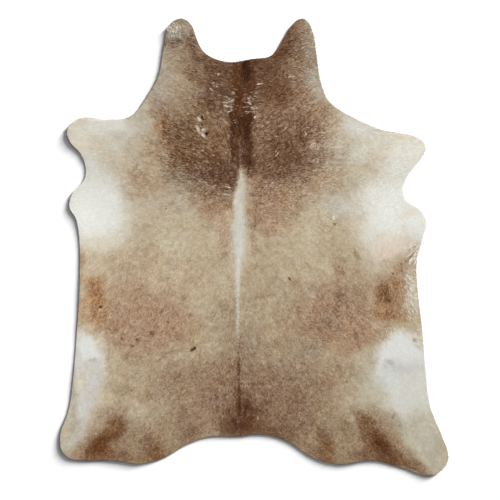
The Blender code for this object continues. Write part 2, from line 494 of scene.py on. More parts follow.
# How far the hair turns from straight out towards the tail, in degrees, at six distances from
# the backbone. Each row starts with its distance ahead of the rear edge.
LAY_DISTANCES = (0.0, 0.03, 0.09, 0.175, 0.40, 0.65)
LAY_ROWS = (
    (0.15, 90, 70, 40, 25, 20, 50),
    (0.30, 90, 82, 66, 45, 50, 60),
    (0.44, 90, 82, 70, 52, 55, 50),
    (0.58, 90, 82, 66, 46, 32, 35),
    (0.70, 90, 82, 70, 55, 42, 50),
    (0.85, 90, 82, 70, 55, 50, 75),
    (0.99, 90, 80, 66, 45, 42, 70),
    (1.13, 90, 75, 50, 10, 25, 42),
    (1.20, 90, 72, 40, 3, 18, 32),
    (1.30, 90, 20, -5, -5, 5, 15),
    (1.36, 90, 0, -8, -8, 0, 8),
    (1.42, -90, -25, -15, -12, -8, -2),
    (1.54, -90, -50, -38, -32, -22, -8),
    (1.60, -90, -50, -42, -38, -28, -12),
    (1.68, -90, -25, -25, -35, -35, -20),
    (1.85, -90, -15, -6, -12, -15, -20),
    (1.95, -90, -15, -5, -10, -15, -20),
)
# The lay wanders by up to this many degrees. This noise and those below are given by the size over
# which it changes, its length along the hair where it is combed, and its seed.
LAY_WANDER = 14
LAY_NOISE = (0.09, 41)
COMB_STEPS = 5
COMB_DIVISOR = 3
HIDE_MIDDLE = 1


def hide_places(places):
    """Distances out from the backbone and ahead of the rear edge."""
    return places[:, 0] - BACKBONE_X, places[:, 1] - REAR_Y


def hide_noise(out, ahead, size, seed):
    """Smooth noise by distances out from the backbone and ahead of the rear edge."""
    return smooth_noise(out, ahead - HIDE_MIDDLE, size, seed)


def lay_angle(out, ahead):
    """How far the hair turns from straight out towards the tail, in degrees."""
    rows = np.array(LAY_ROWS)
    table = rows[:, 1:]
    row = np.interp(ahead, rows[:, 0], np.arange(len(rows)))
    column = np.interp(np.abs(out), LAY_DISTANCES, np.arange(len(LAY_DISTANCES)))
    low_row = np.minimum(row.astype(int), len(rows) - 2)
    low_column = np.minimum(column.astype(int), len(LAY_DISTANCES) - 2)
    up = row - low_row
    along = column - low_column
    near = table[low_row, low_column] * (1 - up) + table[low_row + 1, low_column] * up
    far = table[low_row, low_column + 1] * (1 - up) + table[low_row + 1, low_column + 1] * up
    return near * (1 - along) + far * along


def lay_direction(out, ahead):
    """The way the hair lies, seen from above."""
    angle = np.radians(lay_angle(out, ahead) + LAY_WANDER * hide_noise(out, ahead, *LAY_NOISE))
    side = np.where(out < 0, -1.0, 1.0)
    return side * np.cos(angle), -np.sin(angle)


def combed_noise(out, ahead, size, length, seed):
    """Noise drawn out along the lay, as hair that lies in locks."""
    along_out, along_ahead = lay_direction(out, ahead)
    total = np.zeros_like(out)
    for share in np.linspace(-0.5, 0.5, COMB_STEPS):
        step = share * length
        total += hide_noise(out + along_out * step, ahead + along_ahead * step, size, seed)
    return total / COMB_DIVISOR


def hair_length(ahead):
    """How long the hair is."""
    return np.interp(ahead, HAIR_PLACES, HAIR_LENGTHS)


# The tones of the coat, as red, green and blue of 255
TONES = {
    "white": (231, 231, 223),
    "milk": (221, 221, 216),
    "bone": (222, 219, 208),
    "chalk": (214, 212, 202),
    "pale": (207, 205, 192),
    "cream": (215, 206, 186),
    "straw": (202, 190, 167),
    "oat": (190, 183, 163),
    "khaki": (192, 178, 151),
    "fawn": (187, 170, 143),
    "peach": (202, 183, 156),
    "bisque": (180, 157, 130),
    "ash": (182, 166, 145),
    "sand": (168, 148, 122),
    "beige": (152, 135, 114),
    "rose": (164, 134, 107),
    "tan": (169, 130, 93),
    "ginger": (150, 103, 64),
    "oak": (150, 130, 104),
    "taupe": (145, 119, 96),
    "brown": (128, 101, 80),
    "hazel": (136, 105, 75),
    "walnut": (120, 88, 62),
    "umber": (106, 78, 58),
    "rust": (97, 62, 35),
    "dark": (80, 50, 32),
    "soot": (54, 31, 15),
    "grey": (174, 164, 146),
    "silver": (201, 199, 193),
    "frost": (198, 201, 200),
    "shell": (228, 212, 193),
    "lead": (112, 101, 88),
}
# A mark is an oval of one tone: the place of its middle, its half length and half width, how
# strongly it covers, and where these aren't the usual ones, the softness of its edge and its turn
# in degrees from straight out.
Mark = namedtuple("Mark", "tone out ahead length width strength soft turn", defaults=(1.4, 0))
BROAD_MARKS = (
    # warmer and cooler places of the fawn body
    ("khaki", 0.30, 1.09, 0.20, 0.13, 0.7, 1.6),
    ("khaki", -0.30, 1.12, 0.20, 0.12, 0.7, 1.6),
    ("khaki", -0.13, 0.86, 0.09, 0.20, 0.8),
    ("bisque", 0.14, 0.92, 0.09, 0.18, 0.2, 1.5),
    ("bisque", -0.50, 0.90, 0.13, 0.13, 0.9),
    ("bisque", 0.56, 0.88, 0.09, 0.10, 0.3),
    ("bisque", -0.25, 0.88, 0.14, 0.11, 0.7, 1.6, 20),
    ("rose", -0.44, 0.69, 0.22, 0.13, 0.9, 1.3, -20),
    ("rose", -0.55, 0.62, 0.11, 0.09, 0.7, 1.2, -20),
    ("rose", -0.25, 0.66, 0.12, 0.10, 0.4, 1.5, 20),
    ("rose", -0.35, 0.75, 0.05, 0.03, 0.6, 1.5, 20),
    ("rose", 0.42, 0.75, 0.18, 0.14, 1.0, 1.3, 25),
    ("taupe", 0.44, 0.75, 0.12, 0.09, 0.35, 1.5, 25),
    ("taupe", 0.41, 0.69, 0.05, 0.035, 0.7, 1.5, 20),
    ("taupe", 0.545, 0.64, 0.03, 0.03, 0.7, 1.5, 20),
    ("rose", 0.56, 0.65, 0.11, 0.08, 0.9, 1.3, 25),
    ("rose", 0.60, 0.68, 0.04, 0.03, 0.5, 1.5),
    ("rose", 0.22, 0.63, 0.18, 0.09, 0.6),
    ("sand", 0.00, 0.58, 0.30, 0.11, 0.9),
    ("sand", 0.06, 0.76, 0.16, 0.08, 0.5),
    ("sand", 0.32, 0.56, 0.12, 0.05, 0.5),
    ("beige", 0.30, 0.58, 0.08, 0.06, 0.6),
    ("beige", 0.04, 0.59, 0.05, 0.06, 0.6),
    ("sand", -0.07, 0.74, 0.06, 0.06, 0.8),
    ("sand", 0.22, 0.83, 0.08, 0.05, 0.7),
    ("taupe", 0.46, 0.82, 0.04, 0.04, 0.7, 1.5),
    ("bisque", 0.42, 0.83, 0.025, 0.04, 0.4, 1.5),
    ("bisque", 0.50, 0.75, 0.03, 0.03, 0.4, 1.5),
    ("umber", 0.465, 0.82, 0.018, 0.022, 0.7),
    ("brown", 0.40, 0.70, 0.020, 0.016, 0.6, 1.4, 20),
    ("brown", 0.545, 0.645, 0.020, 0.016, 0.5, 1.4, 20),
    ("rose", 0.46, 0.94, 0.025, 0.07, 0.7),
    ("sand", 0.55, 0.83, 0.04, 0.05, 0.7),
    ("fawn", -0.15, 0.63, 0.05, 0.04, 0.6),
    ("ash", 0.48, 0.47, 0.06, 0.04, 0.6),
    ("ash", 0.42, 1.26, 0.15, 0.08, 0.7),
    ("khaki", 0.36, 1.20, 0.05, 0.05, 0.7),
    ("ash", -0.33, 1.27, 0.13, 0.07, 0.8),
    ("straw", -0.41, 1.24, 0.10, 0.08, 0.5),
    # croup and hind quarters
    ("sand", -0.47, 0.42, 0.22, 0.17, 0.9, 1.3),
    ("sand", 0.44, 0.40, 0.18, 0.15, 0.9, 1.3),
    ("khaki", 0.56, 0.33, 0.11, 0.07, 0.9),
    ("oat", 0.62, 0.41, 0.08, 0.13, 0.9, 1.3),
    ("taupe", 0.02, 0.37, 0.36, 0.16, 1.0, 1.1),
    ("taupe", -0.26, 0.46, 0.09, 0.06, 0.7, 1.4, 20),
    ("brown", 0.16, 0.27, 0.16, 0.11, 0.85, 1.3),
    ("taupe", -0.22, 0.24, 0.10, 0.08, 1.0, 1.3),
    # a dark band along the rear edge: brown hair, with painted shade of the edge laid over it
    ("umber", 0.08, 0.20, 0.18, 0.022, 0.8, 1.3),
    ("brown", 0.28, 0.14, 0.12, 0.03, 0.9, 1.2, -35),
    ("umber", 0.20, 0.165, 0.06, 0.016, 0.7, 1.3, -28),
    ("brown", -0.25, 0.165, 0.09, 0.03, 0.8, 1.2, 30),
    ("ash", -0.45, 0.28, 0.09, 0.06, 0.8),
    ("oak", -0.47, 0.14, 0.20, 0.11, 1.0, 1.2),
    ("oak", 0.48, 0.14, 0.20, 0.13, 1.0, 1.2),
    ("brown", -0.07, 0.33, 0.07, 0.10, 0.7),
    ("taupe", 0.20, 0.33, 0.06, 0.04, 0.7),
    ("brown", -0.25, 0.22, 0.05, 0.04, 0.6),
    ("brown", 0.30, 0.22, 0.05, 0.04, 0.7),
    ("oak", -0.35, 0.27, 0.05, 0.04, 0.5),
    # brown at the rear edge, partly painted shade of the edge
    ("brown", 0.38, 0.09, 0.07, 0.03, 0.6, 1.4, -15),
    # shoulders
    ("straw", -0.58, 1.52, 0.19, 0.16, 1.0, 1.0),
    ("khaki", -0.44, 1.56, 0.05, 0.12, 0.7, 1.2),
    ("straw", 0.58, 1.48, 0.17, 0.15, 1.0, 1.0),
    ("ash", 0.45, 1.50, 0.09, 0.12, 1.0, 1.2),
    ("oat", 0.52, 1.50, 0.07, 0.06, 0.8),
    ("silver", 0.51, 1.61, 0.09, 0.03, 0.7, 1.2, -25),
    ("straw", -0.50, 1.53, 0.10, 0.06, 0.5, 1.3),
    ("chalk", -0.56, 1.55, 0.05, 0.06, 0.5),
    ("chalk", 0.55, 1.47, 0.04, 0.05, 0.6),
    ("bisque", -0.43, 1.38, 0.13, 0.07, 0.6, 1.4, 15),
    ("rose", -0.48, 1.385, 0.05, 0.04, 0.6, 1.5, 15),
    ("rose", -0.41, 1.325, 0.05, 0.04, 0.3),
    ("sand", 0.41, 1.37, 0.10, 0.07, 0.8, 1.5, -10),
    ("rose", 0.41, 1.36, 0.06, 0.03, 0.4, 1.5),
    ("oat", 0.53, 1.36, 0.045, 0.04, 0.8, 1.5, 20),
    ("khaki", 0.56, 1.41, 0.07, 0.03, 0.5, 1.5, 20),
    ("oat", 0.46, 1.25, 0.08, 0.06, 0.8),
    ("sand", 0.40, 1.33, 0.05, 0.03, 0.6),
    ("straw", 0.60, 1.33, 0.04, 0.05, 0.6),
    ("silver", 0.47, 1.24, 0.06, 0.05, 0.5),
    ("ash", 0.36, 1.29, 0.05, 0.04, 0.4, 1.5),
    # the brown saddle over the neck and withers
    ("sand", 0.00, 1.60, 0.415, 0.19, 1.0, 0.3),
    ("taupe", 0.02, 1.42, 0.34, 0.12, 1.0, 0.6),
    ("taupe", -0.31, 1.68, 0.11, 0.05, 1.0, 1.1, -25),
    ("ash", -0.46, 1.54, 0.06, 0.10, 0.7, 1.3),
    ("brown", 0.02, 1.59, 0.365, 0.19, 1.0, 0.5),
    ("brown", 0.00, 1.82, 0.36, 0.22, 1.0, 0.3),
    ("brown", -0.02, 1.45, 0.28, 0.11, 1.0, 0.8, 8),
    ("hazel", -0.20, 1.57, 0.20, 0.14, 0.7, 1.2),
    ("taupe", -0.11, 1.28, 0.12, 0.07, 1.0, 1.3, -15),
    ("rose", -0.12, 1.21, 0.08, 0.06, 0.6),
    ("taupe", 0.14, 1.285, 0.15, 0.10, 1.0, 1.3),
    ("rose", 0.13, 1.21, 0.11, 0.08, 0.9),
    ("bisque", -0.405, 1.54, 0.05, 0.09, 1.0),
    ("straw", -0.48, 1.55, 0.05, 0.07, 0.6),
    ("umber", -0.26, 1.54, 0.09, 0.07, 0.4, 1.5, 20),
    ("umber", -0.345, 1.615, 0.025, 0.04, 0.3, 1.4, 10),
    ("umber", -0.19, 1.43, 0.12, 0.06, 0.45, 1.5, -10),
    ("umber", -0.09, 1.385, 0.08, 0.06, 0.9, 1.4, -20),
    ("umber", 0.20, 1.51, 0.11, 0.11, 0.9, 1.4, 30),
    ("brown", 0.36, 1.45, 0.07, 0.05, 0.6),
    ("umber", 0.16, 1.43, 0.10, 0.05, 0.7, 1.5),
    ("umber", 0.25, 1.43, 0.10, 0.05, 0.35, 1.5),
    ("umber", 0.31, 1.60, 0.06, 0.05, 0.6, 1.5),
    ("brown", 0.30, 1.52, 0.04, 0.03, 0.7),
    ("beige", -0.30, 1.385, 0.05, 0.04, 0.6),
    ("ash", 0.43, 1.43, 0.05, 0.03, 0.7),
    ("brown", 0.12, 1.31, 0.06, 0.05, 0.5),
    ("umber", 0.14, 1.42, 0.05, 0.03, 0.6),
    ("sand", 0.25, 1.27, 0.05, 0.03, 0.5),
    ("umber", -0.25, 1.63, 0.05, 0.04, 0.5, 1.5),
    ("tan", -0.375, 1.63, 0.03, 0.07, 0.5, 1.5, 10),
    ("brown", -0.15, 1.72, 0.04, 0.03, 0.5),
    ("umber", 0.15, 1.68, 0.05, 0.04, 0.4),
    ("dark", 0.24, 1.54, 0.05, 0.05, 0.2, 1.6, 30),
    ("umber", -0.09, 1.83, 0.13, 0.12, 0.75, 1.6),
    ("umber", 0.15, 1.81, 0.12, 0.12, 1.0, 1.3),
    ("umber", 0.07, 1.90, 0.24, 0.04, 0.9, 1.3, 5),
    ("brown", -0.19, 1.83, 0.05, 0.06, 0.6),
    ("umber", 0.12, 1.82, 0.05, 0.08, 0.8),
    ("taupe", -0.18, 1.75, 0.04, 0.04, 0.6, 1.5),
    ("taupe", -0.12, 1.62, 0.05, 0.05, 0.5, 1.5),
    # edges of the neck and the ears
    ("beige", -0.28, 2.00, 0.13, 0.14, 1.0, 1.0),
    ("taupe", -0.235, 1.95, 0.05, 0.12, 0.9, 1.3, 12),
    ("grey", -0.31, 2.05, 0.07, 0.04, 0.8, 1.2),
    ("brown", -0.285, 1.99, 0.06, 0.014, 0.6, 1.3),
    ("lead", -0.29, 2.02, 0.05, 0.025, 0.4),
    ("taupe", 0.30, 1.99, 0.10, 0.16, 0.9, 1.2),
    ("grey", 0.335, 2.03, 0.022, 0.05, 0.8, 1.2),
    ("beige", 0.32, 1.92, 0.04, 0.17, 0.8, 1.4, 4),
    ("umber", 0.21, 1.90, 0.04, 0.05, 0.7),
    ("brown", 0.22, 1.95, 0.06, 0.10, 0.9, 1.3, 20),
    ("umber", 0.215, 1.975, 0.038, 0.10, 0.9, 1.3, -16),
    ("brown", -0.215, 1.97, 0.025, 0.06, 0.9, 1.3, 14),
    ("umber", -0.17, 1.915, 0.05, 0.02, 0.6, 1.4, -20),
    ("dark", 0.175, 1.935, 0.05, 0.015, 0.5, 1.4, 32),
    ("sand", -0.27, 1.80, 0.08, 0.13, 1.0, 1.5, -8),
    ("bisque", -0.30, 1.77, 0.06, 0.08, 0.5),
    ("ash", -0.35, 1.83, 0.055, 0.10, 1.0, 1.2, -10),
    ("grey", -0.37, 1.81, 0.04, 0.06, 0.8, 1.2, -20),
    ("silver", -0.36, 1.91, 0.02, 0.05, 0.4, 1.3, -8),
    ("grey", 0.355, 1.79, 0.045, 0.07, 0.9, 1.1, 14),
    ("taupe", 0.28, 1.78, 0.05, 0.12, 0.6, 1.3, 12),
    ("ash", -0.42, 1.69, 0.06, 0.04, 0.9, 1.3, 40),
    ("oat", -0.45, 1.64, 0.04, 0.05, 0.9, 1.3, -30),
    ("straw", -0.435, 1.72, 0.025, 0.03, 0.6, 1.3, 30),
    ("taupe", -0.395, 1.67, 0.03, 0.03, 0.5),
    ("taupe", -0.35, 1.69, 0.06, 0.04, 0.6, 1.3, -30),
    ("taupe", 0.375, 1.67, 0.065, 0.05, 1.0, 1.2, -35),
    ("sand", 0.44, 1.635, 0.04, 0.025, 0.8, 1.3, -30),
    # fore legs and elbows
    ("cream", -0.74, 1.57, 0.14, 0.11, 1.0, 1.0),
    ("bone", -0.74, 1.59, 0.06, 0.04, 0.4, 1.3, 20),
    ("bone", -0.80, 1.52, 0.025, 0.03, 0.6, 1.3),
    ("bone", -0.60, 1.61, 0.11, 0.05, 1.0, 1.0, 4),
    ("cream", 0.76, 1.52, 0.18, 0.09, 1.0, 1.0, -8),
    ("chalk", 0.60, 1.57, 0.11, 0.04, 0.7, 1.3, -20),
    ("bone", 0.80, 1.49, 0.07, 0.05, 0.8, 1.2, 10),
    ("chalk", -0.69, 1.40, 0.06, 0.09, 1.0, 1.1),
    ("bone", 0.75, 1.39, 0.10, 0.09, 1.0, 1.1),
    ("bone", -0.66, 1.22, 0.15, 0.18, 1.0, 0.9),
    ("white", -0.68, 1.20, 0.11, 0.15, 1.0, 1.1),
    ("bone", 0.68, 1.22, 0.15, 0.18, 1.0, 0.9),
    ("white", 0.72, 1.20, 0.12, 0.15, 1.0, 1.1),
    ("white", 0.70, 1.12, 0.06, 0.04, 0.8, 1.3),
    ("white", 0.84, 1.16, 0.08, 0.08, 1.0, 1.0),
    ("bone", 0.79, 1.225, 0.05, 0.02, 0.6, 1.4, -20),
    ("cream", -0.67, 1.05, 0.10, 0.05, 0.9, 1.2),
    ("cream", 0.68, 1.045, 0.12, 0.055, 1.0, 1.0),
    ("khaki", -0.66, 0.96, 0.09, 0.06, 1.0, 1.3),
    # flanks
    ("tan", -0.680, 0.81, 0.065, 0.11, 0.8, 1.3, 12),
    ("ginger", -0.655, 0.84, 0.030, 0.06, 0.55, 1.5, 12),
    ("walnut", -0.655, 0.855, 0.022, 0.05, 0.25, 1.5, 12),
    ("tan", -0.73, 0.99, 0.02, 0.04, 0.5),
    ("tan", -0.68, 0.73, 0.06, 0.04, 0.45, 1.5),
    ("walnut", -0.646, 0.835, 0.008, 0.030, 0.5, 1.4, -8),
    ("fawn", -0.725, 0.86, 0.018, 0.06, 0.7),
    ("peach", -0.67, 0.935, 0.04, 0.03, 0.6, 1.5),
    ("bisque", 0.70, 0.86, 0.12, 0.12, 1.0, 1.1),
    ("bone", 0.72, 1.08, 0.12, 0.05, 0.8, 1.3),
    ("straw", 0.66, 0.97, 0.08, 0.05, 0.8, 1.3),
    ("rose", 0.685, 0.83, 0.06, 0.09, 0.8, 1.3, -10),
    ("tan", 0.68, 0.82, 0.05, 0.08, 0.7, 1.4, -10),
    ("peach", 0.70, 0.965, 0.06, 0.045, 0.7, 1.4, 20),
    ("peach", 0.765, 1.01, 0.03, 0.05, 0.4, 1.4, -20),
    ("tan", 0.735, 0.965, 0.030, 0.020, 0.4, 1.5, 30),
    ("tan", 0.69, 0.735, 0.09, 0.03, 0.7, 1.4, -8),
    ("rose", 0.750, 0.945, 0.035, 0.025, 0.5, 1.4, 35),
    ("walnut", 0.668, 0.835, 0.025, 0.042, 0.85, 1.5, 10),
    ("rust", 0.678, 0.85, 0.014, 0.022, 0.55, 1.4, 10),
    ("rust", 0.680, 0.802, 0.022, 0.009, 0.55, 1.4, 10),
    ("ginger", 0.712, 0.89, 0.018, 0.022, 0.6),
    ("walnut", 0.670, 0.745, 0.050, 0.022, 0.4, 1.4, -5),
    ("tan", 0.790, 1.02, 0.012, 0.04, 0.4, 1.4, -30),
    ("cream", 0.785, 0.87, 0.030, 0.09, 0.6, 1.4, 4),
    ("bisque", 0.65, 0.68, 0.06, 0.035, 0.7),
    ("bisque", 0.82, 0.68, 0.02, 0.035, 0.3, 1.3),
    ("bone", 0.815, 0.635, 0.018, 0.030, 0.6, 1.3),
    ("khaki", 0.80, 0.74, 0.025, 0.06, 0.8, 1.3),
    ("cream", 0.71, 1.025, 0.05, 0.016, 0.8, 1.5, 10),
    ("cream", 0.838, 0.63, 0.016, 0.05, 0.7, 1.3),
    ("cream", 0.825, 0.80, 0.012, 0.04, 0.5, 1.3),
    # painted shade along the left edge
    ("tan", -0.748, 0.76, 0.010, 0.03, 0.5),
    # white patches before the hind legs
    ("milk", -0.706, 0.535, 0.076, 0.135, 1.0, 0.7, 4),
    ("straw", -0.635, 0.60, 0.020, 0.06, 0.6, 1.3, 8),
    ("milk", 0.755, 0.515, 0.113, 0.132, 1.0, 0.5, 12),
    ("milk", 0.675, 0.575, 0.045, 0.050, 0.9, 0.9, -15),
    ("milk", 0.67, 0.50, 0.04, 0.04, 0.7, 1.1),
    ("silver", 0.76, 0.46, 0.09, 0.07, 1.0, 1.3),
    ("frost", 0.735, 0.455, 0.065, 0.045, 0.8),
    ("silver", -0.69, 0.47, 0.06, 0.06, 1.0, 1.3),
    ("frost", -0.665, 0.46, 0.025, 0.05, 0.8),
    ("grey", -0.705, 0.465, 0.012, 0.040, 0.4),
    # painted shade along the left edge of the white patch
    ("silver", -0.745, 0.52, 0.018, 0.09, 0.8, 1.3, 6),
    ("grey", -0.765, 0.46, 0.012, 0.05, 0.6, 1.3),
    ("silver", 0.685, 0.515, 0.035, 0.022, 0.9, 1.5, 10),
    ("straw", -0.700, 0.680, 0.040, 0.016, 0.7),
    ("khaki", -0.59, 0.52, 0.025, 0.05, 0.5),
    ("cream", -0.632, 0.51, 0.016, 0.055, 0.7, 1.2),
    # hind legs
    ("straw", -0.69, 0.36, 0.08, 0.14, 1.0, 1.1, -6),
    ("chalk", -0.745, 0.37, 0.03, 0.06, 0.6, 1.3),
    ("khaki", -0.61, 0.36, 0.05, 0.10, 0.7, 1.3, -6),
    ("grey", -0.79, 0.20, 0.06, 0.17, 1.0, 0.9, -6),
    ("straw", -0.80, 0.24, 0.02, 0.12, 0.5, 1.2, -10),
    ("silver", -0.68, 0.38, 0.045, 0.10, 0.9, 1.4, -14),
    ("silver", -0.72, 0.27, 0.028, 0.10, 0.6, 1.4, -14),
    ("silver", -0.765, 0.15, 0.020, 0.05, 0.35, 1.4, -20),
    ("chalk", 0.785, 0.33, 0.105, 0.17, 1.0, 0.8, 12),
    ("oat", 0.85, 0.15, 0.09, 0.15, 1.0, 0.8, 22),
    ("brown", -0.58, 0.08, 0.15, 0.03, 0.9, 1.2),
    ("taupe", -0.72, 0.10, 0.05, 0.03, 0.7, 1.2),
    ("taupe", -0.62, 0.17, 0.085, 0.14, 0.9, 1.2, -35),
    ("walnut", -0.612, 0.170, 0.035, 0.115, 1.0, 1.2, -40),
    ("walnut", -0.61, 0.105, 0.07, 0.03, 1.0, 1.3),
    ("walnut", -0.585, 0.240, 0.046, 0.020, 0.9, 1.4, 30),
    ("rust", -0.645, 0.135, 0.036, 0.075, 0.9, 1.4, -34),
    ("brown", 0.74, 0.055, 0.12, 0.026, 0.7, 1.2, -16),
    ("taupe", 0.55, 0.10, 0.08, 0.04, 0.8, 1.3),
    ("brown", 0.60, 0.085, 0.08, 0.020, 0.7, 1.3, -4),
    ("taupe", 0.635, 0.165, 0.078, 0.14, 0.9, 1.2, 38),
    ("walnut", 0.618, 0.166, 0.042, 0.120, 1.0, 1.1, 40),
    ("rust", 0.660, 0.115, 0.040, 0.080, 1.0, 1.4, 38),
    ("walnut", 0.576, 0.240, 0.030, 0.045, 0.8, 1.3, 40),
    ("walnut", 0.61, 0.100, 0.045, 0.025, 0.6),
    ("taupe", 0.765, 0.105, 0.06, 0.025, 0.4, 1.3, -40),
    ("taupe", 0.56, 0.125, 0.03, 0.03, 0.7),
    ("grey", 0.90, 0.08, 0.03, 0.04, 0.6, 1.3),
    ("brown", 0.72, 0.100, 0.030, 0.018, 0.6, 1.4, -30),
    ("taupe", 0.83, 0.045, 0.035, 0.014, 0.6, 1.4, -25),
    ("walnut", 0.67, 0.085, 0.09, 0.032, 1.0, 1.3, -14),
    ("umber", 0.79, 0.03, 0.09, 0.010, 0.6, 1.4, -20),
    ("brown", -0.41, 0.14, 0.05, 0.06, 0.9, 1.3, -15),
    ("walnut", -0.375, 0.10, 0.045, 0.035, 0.9, 1.4, 25),
    ("walnut", 0.388, 0.125, 0.036, 0.075, 0.9, 1.4, 8),
    # fan of hair above the tail
    ("umber", 0.04, 0.26, 0.08, 0.08, 0.7),
    ("dark", 0.02, 0.26, 0.035, 0.09, 0.7, 1.3),
    ("umber", -0.04, 0.21, 0.05, 0.05, 0.8, 1.2),
    # darker and paler stretches inside the larger patches
    ("dark", 0.668, 0.105, 0.042, 0.022, 0.6, 1.4, -48),
    ("umber", 0.570, 0.105, 0.030, 0.028, 0.5, 1.5, -30),
    ("walnut", 0.800, 0.048, 0.034, 0.022, 0.4, 1.5, -30),
    ("beige", 0.722, 0.235, 0.050, 0.028, 0.45, 1.5, -60),
    ("white", 0.730, 1.135, 0.080, 0.036, 0.85, 1.3),
    ("shell", 0.765, 1.195, 0.040, 0.014, 0.6, 1.4, 20),
    ("shell", 0.755, 1.130, 0.016, 0.022, 0.5, 1.5),
    ("cream", 0.540, 1.110, 0.060, 0.060, 0.4),
    ("straw", 0.635, 0.965, 0.055, 0.038, 0.55),
    ("shell", 0.690, 1.045, 0.080, 0.042, 0.8, 1.3, 20),
    ("dark", -0.005, 1.645, 0.048, 0.042, 0.85, 1.2),
    ("dark", 0.064, 1.425, 0.018, 0.034, 0.35, 1.5),
    ("taupe", 0.122, 1.695, 0.028, 0.046, 0.5, 1.5),
    ("walnut", -0.205, 1.848, 0.060, 0.028, 0.6, 1.4, -50),
    ("walnut", -0.092, 1.520, 0.026, 0.040, 0.5, 1.5),
    ("umber", 0.302, 1.572, 0.038, 0.040, 0.65, 1.3),
    ("dark", -0.022, 0.215, 0.022, 0.034, 0.5),
    ("cream", 0.788, 0.812, 0.026, 0.045, 0.8, 1.2),
)
